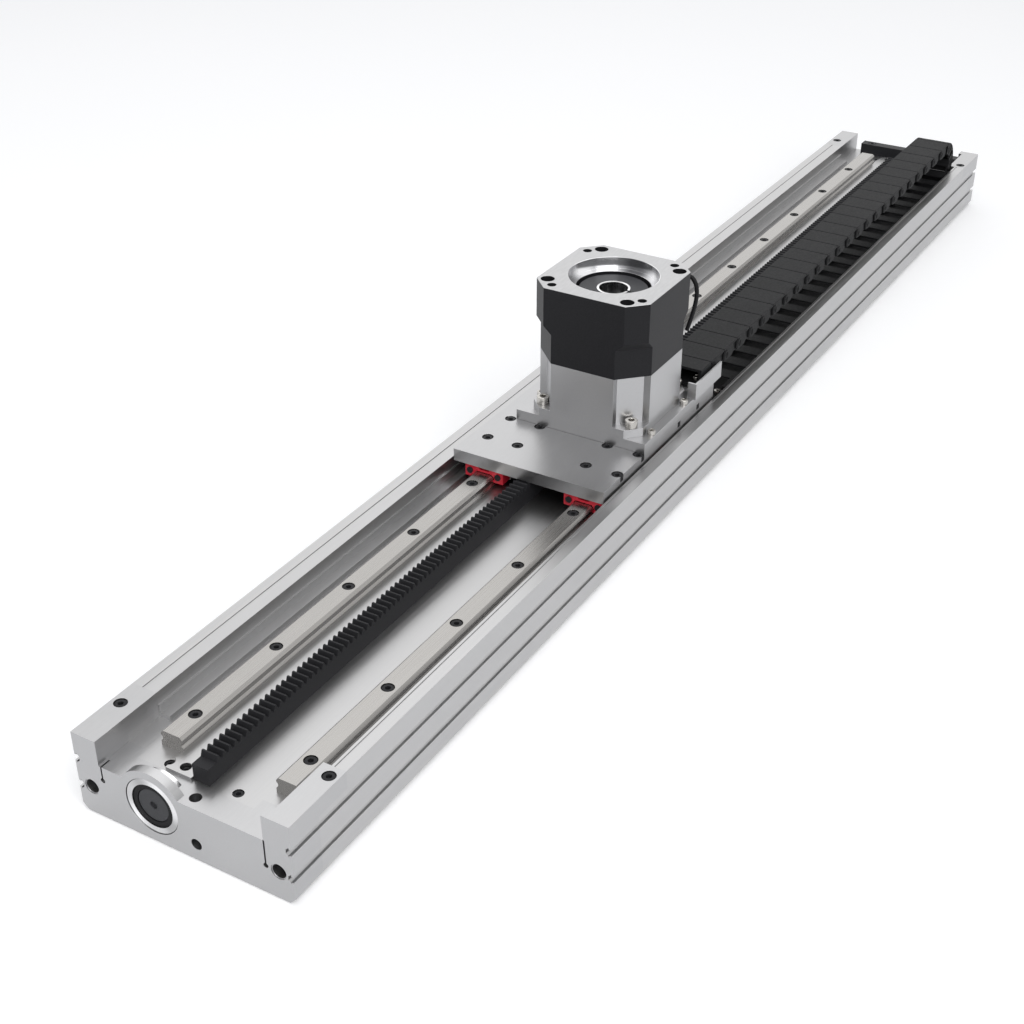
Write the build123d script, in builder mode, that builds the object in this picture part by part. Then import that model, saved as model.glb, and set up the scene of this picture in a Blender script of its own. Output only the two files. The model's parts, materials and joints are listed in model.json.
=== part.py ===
from build123d import *
import math
import os

# Rack and pinion linear module. Millimetres, +Z up, +Y from the end with the bearing bore to the far
# end, +X to the right. The origin is under the middle of the base, on the surface it stands on.

# Whole module
LENGTH = 1106.0
WIDTH = 140.0
WALL_TOP = 51.0
FLOOR = 35.0
BOTTOM_CHAMFER = 3.5

# Side walls of the base profile
LEFT_WALL_INNER = -53.5
LEDGE_INNER = -52.3
LEDGE_TOP = 43.0
STEP_INNER = -46.0
STEP_TOP = 38.0
RIGHT_WALL_INNER = 61.0
LINE_GROOVE_X = 63.0
LINE_GROOVE_WIDTH = 0.8
LINE_GROOVE_DEPTH = 0.5
RIB_LEFT = -22.0
RIB_RIGHT = -5.0
RIB_TOP = 37.0

# Fixing grooves and chambers of the base profile
SIDE_GROOVE_LOW = 16.7
SIDE_GROOVE_HIGH = 34.4
GROOVE_MOUTH = 3.9
GROOVE_LIP = 1.3
GROOVE_WIDTH = 6.2
GROOVE_DEPTH = 3.2
BOTTOM_GROOVE_X = 40.0
BOTTOM_GROOVE_MOUTH = 6.2
BOTTOM_GROOVE_LIP = 2.6
BOTTOM_GROOVE_WIDTH = 11.4
BOTTOM_GROOVE_DEPTH = 7.0
CHAMBER_BOTTOM = 11.5
CHAMBER_TOP = 27.0
CHAMBERS = ((-61.0, -37.5), (-21.5, -7.5), (8.0, 37.0), (53.0, 61.0))

# End blocks
BLOCK_MIDDLE_DEPTH = 15.6
BLOCK_DEPTH = 23.0
BLOCK_MIDDLE_LEFT = -41.0
BLOCK_MIDDLE_RIGHT = 35.0
EAR_DEPTH = 47.0
EAR_BOTTOM = 40.0
EAR_STEP_DEPTH = 8.0
EAR_INNER_FRONT = 53.0
EAR_INNER = 56.0
TONGUE_BOTTOM = 11.5
TONGUE_TOP = 27.0
TONGUE_END = 28.0
TONGUE_GAP = 1.0
EAR_SCREW_LEFT = (-64.0, 31.0)
EAR_SCREW_RIGHT = (64.5, 40.0)
FLOOR_SCREWS = ((-23.2, 20.5), (-12.9, 21.0), (21.4, 20.5))
BIG_THREAD_X = 61.0
REAR_THREAD_X = 59.5
BIG_THREAD_Z = 18.0
BIG_THREAD_RADIUS = 4.25
BIG_THREAD_DEPTH = 20.0
BIG_THREAD_FLARE = 0.6
SMALL_THREAD_RADIUS = 3.4
FRONT_THREAD = (8.3, 10.7)
TOP_THREAD = (5.0, 7.0)
SMALL_THREAD_DEPTH = 13.0
SLIT_WIDTH = 1.0
SLIT_DEPTH = 6.5
SLIT_HOLE_RADIUS = 1.5
SLIT_RIGHT_X = 53.2
SLIT_RIGHT_BOTTOM = 18.5
SLIT_LEFT_X = -52.0
SLIT_LEFT_BOTTOM = 26.0

# Bearing bore in the front end block
BORE_X = -19.5
BORE_Z = 23.0
BORE_RADIUS = 17.2
BORE_DEPTH = 11.0
BOSS_RADIUS = 22.0
BOSS_LENGTH = 5.5
BORE_RING_OUTER = 16.8
BORE_RING_INNER = 13.4
SEAL_OUTER = 13.3
SEAL_INNER = 10.1
PLUG_RADIUS = 10.0
BORE_FACE_INSET = 0.4
SEAL_INSET = 1.0
PLUG_INSET = 1.4
DIMPLE_RADIUS = 2.2

# Rear cover plate
REAR_PLATE_LEFT = -45.5
REAR_PLATE_RIGHT = 52.0
REAR_PLATE_THICKNESS = 10.0
REAR_PLATE_TOP = 45.0
REAR_PLATE_SCREW_X = (-36.0, 38.0)

# Guide rails
RAIL_LEFT_X = -29.5
RAIL_RIGHT_X = 45.0
RAIL_HEIGHT = 10.0
RAIL_PROFILE = ((7.5, 0.0), (7.5, 3.0), (6.2, 4.4), (6.2, 6.0), (7.2, 7.1), (7.2, 8.3), (5.5, 10.0))
RAIL_HOLE_PITCH = 69.1
RAIL_LEFT_START = 30.0
RAIL_LEFT_END = 1070.0
RAIL_LEFT_FIRST_HOLE = 49.3
RAIL_LEFT_HOLES = 15
RAIL_RIGHT_START = 31.0
RAIL_RIGHT_END = 511.0
RAIL_RIGHT_FIRST_HOLE = 50.5
RAIL_RIGHT_HOLES = 7

# Screws: head radius, head height, shank radius
M3 = (2.75, 3.0, 1.5)
M4 = (3.5, 4.0, 2.0)
M5 = (4.25, 5.0, 2.5)
SCREW_CLEARANCE = 0.1
COUNTERBORE_CLEARANCE = 0.4
FLUSH_DEPTH = 0.3

# Rack and pinion
MODULE = 1.5
PRESSURE_ANGLE = math.radians(20.0)
RACK_LEFT = -4.6
RACK_RIGHT = 5.8
RACK_TIP = 49.0
RACK_START = 17.0
RACK_END = 1065.0
ROOT_DEPTH = 1.875
PINION_TEETH = 28
PINION_LEFT = -4.4
PINION_RIGHT = 3.0
TOOTH_THINNING = 0.2

# Carriage plates
PLATE_FRONT = 339.5
PLATE_REAR = 505.0
CARRIAGE_LEFT = -52.3
CARRIAGE_RIGHT = 59.8
CARRIAGE_BOTTOM = 49.0
CARRIAGE_TOP = 57.5
LOAD_PAD_TOP = 57.8
LOAD_PAD_GAP = 0.2
UPPER_PLATE_FRONT = 396.5
UPPER_PLATE_LEFT = -37.5
UPPER_PLATE_TOP = 65.0
WINDOW_LEFT = -13.0
WINDOW_RIGHT = 27.0
CARRIAGE_WINDOW_HALF = 21.5
UPPER_WINDOW_HALF = 24.0
PLATE_SCREW_LEFT_X = -33.5
PLATE_SCREW_RIGHT_X = 56.9
PLATE_SCREWS_LEFT = (423.0, 462.0, 495.0)
PLATE_SCREWS_RIGHT = (412.0, 462.0)

# Bearing blocks
BLOCK_WIDTH = 30.0
BLOCK_LENGTH = 78.0
BLOCK_BOTTOM = 39.5
BLOCK_RAIL_GAP = 0.35
FRONT_BLOCK_START = 340.5
REAR_BLOCK_START = 425.5
CAP_LENGTH = 9.0
CAP_INSET = 0.6
CAP_SCREW_X = 10.6
CAP_SCREW_Z = 44.8
CAP_NOTCH_WIDTH = 9.0
CAP_NOTCH_DEPTH = 1.8
BLOCK_SCREW_X = 11.5
BLOCK_SCREW_Y = 15.0
BLOCK_SCREW_DEPTH = 7.0

# Gearbox, lower housing
GEAR_X = 12.0
GEAR_HALF = 41.5
GEAR_Y = UPPER_PLATE_FRONT + GEAR_HALF
FOOT_TOP = 71.0
FOOT_CHAMFER = 9.5
HOUSING_TOP = 106.0
POCKET_SIZE = 18.0
POCKET_SHOULDER = 5.0
FOOT_SCREW_INSET = 8.0
CAVITY_LEFT = -5.5
CAVITY_RIGHT = 19.5
CAVITY_HALF = 23.7
CAVITY_TOP = 92.0
BEVEL_CLEARANCE_RADIUS = 9.6
BEVEL_CLEARANCE_BOTTOM = 78.6
ARM_LEFT = -12.2
ARM_RIGHT = 26.2
ARM_HALF = 13.0
ARM_BOTTOM = 56.0
HOUSING_SCREW_X = 37.4
HOUSING_SCREW_Y = 14.0

# Gearbox, upper housing
BODY_TOP = 159.0
BODY_LOWER_CHAMFER = 18.0
BODY_UPPER_CHAMFER = 12.0
SLOPE_BOTTOM = 130.0
SLOPE_TOP = 144.0
PILOT_RADIUS = 30.0
PILOT_DEPTH = 8.0
HUB_BORE_RADIUS = 25.0
MOTOR_BOLT_RADIUS = 44.0
MOTOR_HOLE_RADIUS = 4.6
MOTOR_HOLE_TURN = -6.5
SMALL_HOLE_RADIUS = 3.0
SMALL_HOLE_TURN = 6.5
TOP_HOLE_DEPTH = 14.0
RING_OUTER = 35.0
RING_BOTTOM = 107.0
RING_TOP = 121.0
FIT = 0.03

# Cross shaft with the drive pinion and the bevel gear
PINION_RADIUS = MODULE * PINION_TEETH / 2
SHAFT_Z = RACK_TIP - MODULE + PINION_RADIUS
SHAFT_RADIUS = 5.0
SHAFT_LEFT = -11.4
SHAFT_RIGHT = 25.4
SHAFT_BEARING_OUTER = 9.5
SHAFT_BEARING_WIDTH = 5.0
LEFT_BEARING_X = -11.0
RIGHT_BEARING_X = 20.2
SHAFT_END_RADIUS = 6.5
BEVEL_MODULE = 1.0
BEVEL_GEAR_TEETH = 32
BEVEL_PINION_TEETH = 16
BEVEL_ADDENDUM = 0.6
BEVEL_DEDENDUM = 0.95
BEVEL_THINNING = 0.45
BEVEL_FACE = 0.67
BEVEL_HUB_RADIUS = 7.2
BEVEL_HUB_RIGHT = 10.5

# Planet stage
PLANET_MODULE = 1.0
SUN_TEETH = 21
PLANET_TEETH = 21
RING_TEETH = 63
PLANET_ADDENDUM = 0.75
PLANET_DEDENDUM = 1.2
PLANET_THINNING = 0.3
PLANET_BOTTOM = 112.0
PLANET_TOP = 120.0
PLANET_PIN_RADIUS = 2.5
PLANET_PIN_TOP = 120.8
CARRIER_RADIUS = 27.0
CARRIER_BOTTOM = 107.0
CARRIER_TOP = 111.5
OUTPUT_RADIUS = 6.0
OUTPUT_TIP_RADIUS = 3.5
OUTPUT_TIP_BOTTOM = 79.6
OUTPUT_STEP = 92.6
OUTPUT_BEARING_OUTER = 12.0
OUTPUT_BEARING_WIDTH = 6.0
OUTPUT_BEARINGS_Z = (93.0, 99.5)
ROOF_OPENING_RADIUS = 9.0

# Motor side: sun gear, clamp hub and its bearing
SUN_SHANK_RADIUS = 6.0
SUN_SHANK_TOP = 129.0
HUB_RADIUS = 23.0
HUB_BOTTOM = 135.0
HUB_TOP = 149.5
HUB_SLEEVE_RADIUS = 15.0
HUB_SLEEVE_BOTTOM = 122.5
HUB_BEARING_BOTTOM = 124.0
HUB_BEARING_HEIGHT = 7.0
HUB_BEARING_OUTER = 21.0
HUB_SEAT_LIP = 19.0
BUSHING_OUTER = 11.2
BUSHING_INNER = 9.5
BUSHING_BOTTOM = 130.0
BUSHING_TOP = 150.0
HUB_SLIT = 2.0
CLAMP_SCREW_OFFSET = 16.5
CLAMP_SCREW_Z = 143.0

# Cable chain
CHAIN_LEFT = 28.0
CHAIN_RIGHT = 59.0
CHAIN_HEIGHT = 13.4
CHAIN_WALL = 2.4
CHAIN_LID = 1.6
CHAIN_GAP = 0.4
CHAIN_PITCH = 22.2
CHAIN_LOW = 35.5
CHAIN_HIGH = 67.6
CHAIN_BEND_START = 1033.0
CHAIN_UPPER_LINKS = 24
CHAIN_LOWER_LINKS = 22
CHAIN_BEND_LINKS = 3
CHAIN_END_LENGTH = 16.0

# Tray that carries the moving end of the chain
TRAY_LEFT = 27.0
TRAY_RIGHT = 62.0
TRAY_SHEET = 1.5
TRAY_FRONT = 481.0
TRAY_TAB_FRONT = 470.0
TRAY_REAR = 512.0
TRAY_TOP = 77.0
TRAY_TAB_LEFT = 55.5
TRAY_SCREWS_X = (35.0, 52.0)
TRAY_SCREWS_Y = 491.8

# Signal cable behind the gearbox
CABLE_RADIUS = 1.5

os.makedirs("parts", exist_ok=True)


def from_front(distance):
    """Y of a plane that lies this far behind the front face."""
    return distance - LENGTH / 2


def slab(x_low, x_high, y_low, y_high, z_low, z_high, mode=Mode.ADD):
    with BuildSketch(Plane.XY.offset(z_low)) as drawn:
        with Locations(((x_low + x_high) / 2, (y_low + y_high) / 2)):
            Rectangle(x_high - x_low, y_high - y_low)
    extrude(drawn.sketch, amount=z_high - z_low, mode=mode)


def post(centres, radius, z_low, z_high, mode=Mode.ADD):
    """Upright cylinders on a list of centres."""
    with BuildSketch(Plane.XY.offset(z_low)) as drawn:
        with Locations(*centres):
            Circle(radius)
    extrude(drawn.sketch, amount=z_high - z_low, mode=mode)


def rod_along_x(y, z, radius, x_low, x_high, mode=Mode.ADD):
    with BuildSketch(Plane.YZ.offset(x_low)) as drawn:
        with Locations((y, z)):
            Circle(radius)
    extrude(drawn.sketch, amount=x_high - x_low, mode=mode)


def rod_along_y(centres, radius, y_low, y_high, mode=Mode.ADD):
    with BuildSketch(Plane.XZ.offset(-y_high)) as drawn:
        with Locations(*centres):
            Circle(radius)
    extrude(drawn.sketch, amount=y_high - y_low, mode=mode)


def outline_along_y(points, y_low, y_high, mode=Mode.ADD):
    """A closed X-Z outline drawn out along Y."""
    with BuildSketch(Plane.XZ.offset(-y_high)) as drawn:
        with BuildLine():
            Polyline(*points, close=True)
        make_face()
    extrude(drawn.sketch, amount=y_high - y_low, mode=mode)


def outline_up(points, z_low, z_high, mode=Mode.ADD):
    """A closed X-Y outline drawn up along Z."""
    with BuildSketch(Plane.XY.offset(z_low)) as drawn:
        with BuildLine():
            Polyline(*points, close=True)
        make_face()
    extrude(drawn.sketch, amount=z_high - z_low, mode=mode)


def cap_screws(size, centres, seat, tip, flush=False):
    """Upright cap screws: the head stands on the seat, the shank goes down to the tip."""
    head_radius, head_height, shank_radius = size
    post(centres, shank_radius, tip, seat)
    post(centres, head_radius, seat, seat + head_height)


def cut_for_screws(size, centres, top, seat, tip):
    """Counterbore down to the seat and a hole for the shank below it."""
    head_radius, head_height, shank_radius = size
    if top > seat:
        post(centres, head_radius + COUNTERBORE_CLEARANCE, seat, top, mode=Mode.SUBTRACT)
    post(centres, shank_radius + SCREW_CLEARANCE, tip, seat, mode=Mode.SUBTRACT)


def involute(angle):
    return math.tan(angle) - angle


def gear_outline(module, teeth, addendum, dedendum, thinning, first_tooth, flank_steps):
    """Outline of a spur gear with one tooth centred on the angle first_tooth."""
    pitch_radius = module * teeth / 2
    base_radius = pitch_radius * math.cos(PRESSURE_ANGLE)
    tip = pitch_radius + addendum
    root = pitch_radius - dedendum
    half_width = (math.pi * module / 2 - thinning) / (2 * pitch_radius)
    start = max(base_radius, root)
    flank = []
    for step in range(flank_steps + 1):
        radius = start + (tip - start) * step / flank_steps
        turn = half_width + involute(PRESSURE_ANGLE) - involute(math.acos(base_radius / radius))
        flank.append((radius, turn))
    if root < base_radius:
        flank.insert(0, (root, flank[0][1]))
    points = []
    for tooth in range(teeth):
        centre = first_tooth + 2 * math.pi * tooth / teeth
        for radius, turn in flank:
            points.append((radius * math.cos(centre - turn), radius * math.sin(centre - turn)))
        for radius, turn in reversed(flank):
            points.append((radius * math.cos(centre + turn), radius * math.sin(centre + turn)))
    return points


def cone_outline(pitch_radius, teeth, addendum, dedendum, first_tooth, lean):
    """Outline of a bevel gear at its large end; lean is how much a tooth grows across its face plane."""
    tip = pitch_radius + addendum * lean
    root = pitch_radius - dedendum * lean
    slope = math.tan(PRESSURE_ANGLE)
    half_pitch = (math.pi * BEVEL_MODULE / 2 - BEVEL_THINNING) / 2
    half_tip = half_pitch - addendum * slope
    half_root = half_pitch + dedendum * slope
    points = []
    for tooth in range(teeth):
        centre = first_tooth + 2 * math.pi * tooth / teeth
        for radius, half in ((root, -half_root), (tip, -half_tip), (tip, half_tip), (root, half_root)):
            turn = centre + half / radius
            points.append((radius * math.cos(turn), radius * math.sin(turn)))
    return points


def chamfered_square(x, y, half, chamfer):
    return [(x - half, y - half + chamfer), (x - half + chamfer, y - half), (x + half - chamfer, y - half),
            (x + half, y - half + chamfer), (x + half, y + half - chamfer), (x + half - chamfer, y + half),
            (x - half + chamfer, y + half), (x - half, y + half - chamfer)]


def around(x, y, radius, first, count):
    """Points on a circle, from the angle first in degrees."""
    spots = []
    for number in range(count):
        angle = math.radians(first + 360.0 * number / count)
        spots.append((x + radius * math.cos(angle), y + radius * math.sin(angle)))
    return spots


def mirrored_x(points):
    return [(-x, y) for x, y in points]


GEAR_YY = from_front(GEAR_Y)

# Base profile


def base_outline():
    half = WIDTH / 2
    chamfer = BOTTOM_CHAMFER
    return [(-half, chamfer), (-half + chamfer, 0), (half - chamfer, 0), (half, chamfer), (half, WALL_TOP),
            (RIGHT_WALL_INNER, WALL_TOP), (RIGHT_WALL_INNER, FLOOR), (RIB_RIGHT, FLOOR), (RIB_RIGHT, RIB_TOP),
            (RIB_LEFT, RIB_TOP), (RIB_LEFT, FLOOR), (STEP_INNER, FLOOR), (STEP_INNER, STEP_TOP),
            (LEDGE_INNER, STEP_TOP), (LEDGE_INNER, LEDGE_TOP), (LEFT_WALL_INNER, LEDGE_TOP),
            (LEFT_WALL_INNER, WALL_TOP), (-half, WALL_TOP)]


def side_grooves(y_low, y_high):
    """T grooves in both outer sides and the fine line on top of the walls."""
    half = WIDTH / 2
    for z in (SIDE_GROOVE_LOW, SIDE_GROOVE_HIGH):
        right = [(half, z - GROOVE_MOUTH / 2), (half, z + GROOVE_MOUTH / 2),
                 (half - GROOVE_LIP, z + GROOVE_MOUTH / 2), (half - GROOVE_LIP, z + GROOVE_WIDTH / 2),
                 (half - GROOVE_DEPTH, z + GROOVE_MOUTH / 3), (half - GROOVE_DEPTH, z - GROOVE_MOUTH / 3),
                 (half - GROOVE_LIP, z - GROOVE_WIDTH / 2), (half - GROOVE_LIP, z - GROOVE_MOUTH / 2)]
        outline_along_y(right, y_low, y_high, mode=Mode.SUBTRACT)
        outline_along_y(mirrored_x(right), y_low, y_high, mode=Mode.SUBTRACT)


def bottom_grooves(y_low, y_high):
    for x in (-BOTTOM_GROOVE_X, BOTTOM_GROOVE_X):
        mouth = BOTTOM_GROOVE_MOUTH / 2
        wide = BOTTOM_GROOVE_WIDTH / 2
        groove = [(x - mouth, 0), (x - mouth, BOTTOM_GROOVE_LIP), (x - wide, BOTTOM_GROOVE_LIP),
                  (x - wide, BOTTOM_GROOVE_DEPTH - 2), (x - mouth, BOTTOM_GROOVE_DEPTH),
                  (x + mouth, BOTTOM_GROOVE_DEPTH), (x + wide, BOTTOM_GROOVE_DEPTH - 2),
                  (x + wide, BOTTOM_GROOVE_LIP), (x + mouth, BOTTOM_GROOVE_LIP), (x + mouth, 0)]
        outline_along_y(groove, y_low, y_high, mode=Mode.SUBTRACT)


def rail_holes(first, count):
    return [from_front(first + RAIL_HOLE_PITCH * number) for number in range(count)]


def both_ends(x, distance):
    """The same spot at the front end and, mirrored, at the far end."""
    return [(x, from_front(distance)), (x, -from_front(distance))]


LEFT_HOLES = [(RAIL_LEFT_X, y) for y in rail_holes(RAIL_LEFT_FIRST_HOLE, RAIL_LEFT_HOLES)]
RIGHT_HOLES = [(RAIL_RIGHT_X, y) for y in rail_holes(RAIL_RIGHT_FIRST_HOLE, RAIL_RIGHT_HOLES)]
EAR_SCREWS = both_ends(*EAR_SCREW_LEFT) + both_ends(*EAR_SCREW_RIGHT)
BLOCK_FLOOR_SCREWS = [spot for x, distance in FLOOR_SCREWS for spot in both_ends(x, distance)]
RAIL_SEAT = FLOOR + RAIL_HEIGHT - M4[1] - FLUSH_DEPTH
RAIL_SCREW_TIP = FLOOR - 7.0
EAR_SEAT = WALL_TOP - M4[1] - FLUSH_DEPTH
EAR_SCREW_TIP = 28.0
FLOOR_SEAT = FLOOR - M3[1] - FLUSH_DEPTH
FLOOR_SCREW_TIP = 19.0

with BuildPart() as base_profile:
    profile_end = -from_front(BLOCK_MIDDLE_DEPTH)
    outline_along_y(base_outline(), -profile_end, profile_end)
    side_grooves(-profile_end, profile_end)
    bottom_grooves(-profile_end, profile_end)
    for chamber_left, chamber_right in CHAMBERS:
        slab(chamber_left, chamber_right, -profile_end, profile_end, CHAMBER_BOTTOM, CHAMBER_TOP,
             mode=Mode.SUBTRACT)
    for line_x in (-LINE_GROOVE_X, LINE_GROOVE_X):
        slab(line_x - LINE_GROOVE_WIDTH / 2, line_x + LINE_GROOVE_WIDTH / 2, -profile_end, profile_end,
             WALL_TOP - LINE_GROOVE_DEPTH, WALL_TOP, mode=Mode.SUBTRACT)
    for side in (-1, 1):
        # seats of the end blocks: beside the middle, above the wall ends and round the tongue
        def run(near, far):
            low, high = sorted((side * -from_front(near), side * -from_front(far)))
            return low, high
        slab(-WIDTH / 2, BLOCK_MIDDLE_LEFT, *run(0, BLOCK_DEPTH), 0, WALL_TOP, mode=Mode.SUBTRACT)
        slab(BLOCK_MIDDLE_RIGHT, WIDTH / 2, *run(0, BLOCK_DEPTH), 0, WALL_TOP, mode=Mode.SUBTRACT)
        slab(-WIDTH / 2, LEDGE_INNER, *run(0, EAR_DEPTH), EAR_BOTTOM, WALL_TOP, mode=Mode.SUBTRACT)
        slab(RIGHT_WALL_INNER, WIDTH / 2, *run(0, EAR_DEPTH), EAR_BOTTOM, WALL_TOP, mode=Mode.SUBTRACT)
        slab(BLOCK_MIDDLE_LEFT, BLOCK_MIDDLE_RIGHT, *run(0, TONGUE_END + TONGUE_GAP), TONGUE_BOTTOM,
             TONGUE_TOP, mode=Mode.SUBTRACT)
    cut_for_screws(M4, LEFT_HOLES + RIGHT_HOLES, FLOOR, FLOOR, RAIL_SCREW_TIP)
    cut_for_screws(M4, EAR_SCREWS, EAR_BOTTOM, EAR_BOTTOM, EAR_SCREW_TIP)
    cut_for_screws(M3, BLOCK_FLOOR_SCREWS, FLOOR + 3, FLOOR_SEAT, TONGUE_TOP)

base_profile.part.label = "base_profile"
export_step(base_profile.part, "parts/base_profile.step")

# End blocks


def end_block(side):
    """A block with two ears that lie on the wall ends; side is 1 at the front and -1 at the far end."""

    def run(near, far):
        low, high = sorted((side * from_front(near), side * from_front(far)))
        return low, high

    half = WIDTH / 2
    chamfer = BOTTOM_CHAMFER
    section = [(-half, chamfer), (-half + chamfer, 0), (half - chamfer, 0), (half, chamfer),
               (half, WALL_TOP), (EAR_INNER_FRONT, WALL_TOP), (EAR_INNER_FRONT, FLOOR),
               (STEP_INNER, FLOOR), (STEP_INNER, STEP_TOP), (LEDGE_INNER, STEP_TOP),
               (LEDGE_INNER, LEDGE_TOP), (LEFT_WALL_INNER, LEDGE_TOP), (LEFT_WALL_INNER, WALL_TOP),
               (-half, WALL_TOP)]
    outline_along_y(section, *run(0, BLOCK_DEPTH))
    slab(BLOCK_MIDDLE_LEFT, BLOCK_MIDDLE_RIGHT, *run(BLOCK_MIDDLE_DEPTH, BLOCK_DEPTH), 0, WALL_TOP,
         mode=Mode.SUBTRACT)
    side_grooves(*run(0, BLOCK_DEPTH))
    bottom_grooves(*run(0, BLOCK_DEPTH))
    slab(EAR_INNER_FRONT, EAR_INNER, *run(EAR_STEP_DEPTH, BLOCK_DEPTH), FLOOR, WALL_TOP,
         mode=Mode.SUBTRACT)
    left_ear = [(-half, EAR_BOTTOM), (LEDGE_INNER, EAR_BOTTOM), (LEDGE_INNER, LEDGE_TOP),
                (LEFT_WALL_INNER, LEDGE_TOP), (LEFT_WALL_INNER, WALL_TOP), (-half, WALL_TOP)]
    outline_along_y(left_ear, *run(BLOCK_DEPTH, EAR_DEPTH))
    slab(EAR_INNER, half, *run(BLOCK_DEPTH, EAR_DEPTH), EAR_BOTTOM, WALL_TOP)
    slab(BLOCK_MIDDLE_LEFT, BLOCK_MIDDLE_RIGHT, *run(BLOCK_MIDDLE_DEPTH, TONGUE_END), TONGUE_BOTTOM,
         TONGUE_TOP)
    ears = [(x, side * y) for x, y in ((EAR_SCREW_LEFT[0], from_front(EAR_SCREW_LEFT[1])),
                                       (EAR_SCREW_RIGHT[0], from_front(EAR_SCREW_RIGHT[1])))]
    cut_for_screws(M4, ears, WALL_TOP, EAR_SEAT, EAR_BOTTOM)
    floor = [(x, side * from_front(distance)) for x, distance in FLOOR_SCREWS]
    cut_for_screws(M3, floor, TONGUE_TOP, TONGUE_TOP, FLOOR_SCREW_TIP)
    thread_x = BIG_THREAD_X if side == 1 else REAR_THREAD_X
    threads = ((-thread_x, BIG_THREAD_Z), (thread_x, BIG_THREAD_Z))
    rod_along_y(threads, BIG_THREAD_RADIUS, *run(0, BIG_THREAD_DEPTH), mode=Mode.SUBTRACT)
    rod_along_y(threads, BIG_THREAD_RADIUS + BIG_THREAD_FLARE, *run(0, BIG_THREAD_FLARE),
                mode=Mode.SUBTRACT)


with BuildPart() as front_end_block:
    end_block(1)
    front = from_front(0)
    rod_along_y(((BORE_X, BORE_Z),), BOSS_RADIUS, front, front + BOSS_LENGTH)
    rod_along_y(((BORE_X, BORE_Z),), BORE_RADIUS, front, front + BORE_DEPTH, mode=Mode.SUBTRACT)
    rod_along_y((FRONT_THREAD,), SMALL_THREAD_RADIUS, front, front + SMALL_THREAD_DEPTH,
                mode=Mode.SUBTRACT)
    post(((TOP_THREAD[0], from_front(TOP_THREAD[1])),), SMALL_THREAD_RADIUS, FLOOR - SMALL_THREAD_DEPTH,
         FLOOR, mode=Mode.SUBTRACT)
    for slit_x, slit_bottom in ((SLIT_RIGHT_X, SLIT_RIGHT_BOTTOM), (SLIT_LEFT_X, SLIT_LEFT_BOTTOM)):
        slab(slit_x - SLIT_WIDTH / 2, slit_x + SLIT_WIDTH / 2, front, front + SLIT_DEPTH,
             slit_bottom, FLOOR, mode=Mode.SUBTRACT)
        rod_along_y(((slit_x, slit_bottom),), SLIT_HOLE_RADIUS, front, front + SLIT_DEPTH,
                    mode=Mode.SUBTRACT)

front_end_block.part.label = "front_end_block"
export_step(front_end_block.part, "parts/front_end_block.step")

with BuildPart() as rear_end_block:
    end_block(-1)
    plate_holes = [(x, -from_front(REAR_PLATE_THICKNESS / 2)) for x in REAR_PLATE_SCREW_X]
    cut_for_screws(M4, plate_holes, FLOOR, FLOOR, FLOOR - 8)

rear_end_block.part.label = "rear_end_block"
export_step(rear_end_block.part, "parts/rear_end_block.step")

with BuildPart() as rear_plate:
    slab(REAR_PLATE_LEFT, REAR_PLATE_RIGHT, -from_front(REAR_PLATE_THICKNESS), -from_front(0), FLOOR,
         REAR_PLATE_TOP)
    cut_for_screws(M4, plate_holes, REAR_PLATE_TOP, REAR_PLATE_TOP - M4[1], FLOOR)

rear_plate.part.label = "rear_plate"
export_step(rear_plate.part, "parts/rear_plate.step")

with BuildPart() as rear_plate_screws:
    cap_screws(M4, plate_holes, REAR_PLATE_TOP - M4[1], FLOOR - 7)

rear_plate_screws.part.label = "rear_plate_screws"
export_step(rear_plate_screws.part, "parts/rear_plate_screws.step")

with BuildPart() as end_block_screws:
    cap_screws(M4, EAR_SCREWS, EAR_SEAT, EAR_SCREW_TIP + 1)
    cap_screws(M3, BLOCK_FLOOR_SCREWS, FLOOR_SEAT, FLOOR_SCREW_TIP + 1)

end_block_screws.part.label = "end_block_screws"
export_step(end_block_screws.part, "parts/end_block_screws.step")

with BuildPart() as bore_ring:
    rod_along_y(((BORE_X, BORE_Z),), BORE_RING_OUTER, front + BORE_FACE_INSET, front + BORE_DEPTH)
    rod_along_y(((BORE_X, BORE_Z),), BORE_RING_INNER, front + BORE_FACE_INSET, front + BORE_DEPTH,
                mode=Mode.SUBTRACT)

bore_ring.part.label = "bore_ring"
export_step(bore_ring.part, "parts/bore_ring.step")

with BuildPart() as bore_seal:
    rod_along_y(((BORE_X, BORE_Z),), SEAL_OUTER, front + SEAL_INSET, front + BORE_DEPTH)
    rod_along_y(((BORE_X, BORE_Z),), SEAL_INNER, front + SEAL_INSET, front + BORE_DEPTH,
                mode=Mode.SUBTRACT)

bore_seal.part.label = "bore_seal"
export_step(bore_seal.part, "parts/bore_seal.step")

with BuildPart() as bore_plug:
    rod_along_y(((BORE_X, BORE_Z),), PLUG_RADIUS, front + PLUG_INSET, front + BORE_DEPTH)
    rod_along_y(((BORE_X, BORE_Z),), DIMPLE_RADIUS, front + PLUG_INSET, front + PLUG_INSET + 1.5,
                mode=Mode.SUBTRACT)

bore_plug.part.label = "bore_plug"
export_step(bore_plug.part, "parts/bore_plug.step")

# Guide rails


def rail(x, start, end, holes):
    half = [(x + across, FLOOR + up) for across, up in RAIL_PROFILE]
    other = [(x - across, FLOOR + up) for across, up in reversed(RAIL_PROFILE)]
    outline_along_y(half + other, from_front(start), from_front(end))
    cut_for_screws(M4, holes, FLOOR + RAIL_HEIGHT, RAIL_SEAT, FLOOR)


with BuildPart() as left_rail:
    rail(RAIL_LEFT_X, RAIL_LEFT_START, RAIL_LEFT_END, LEFT_HOLES)

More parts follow.
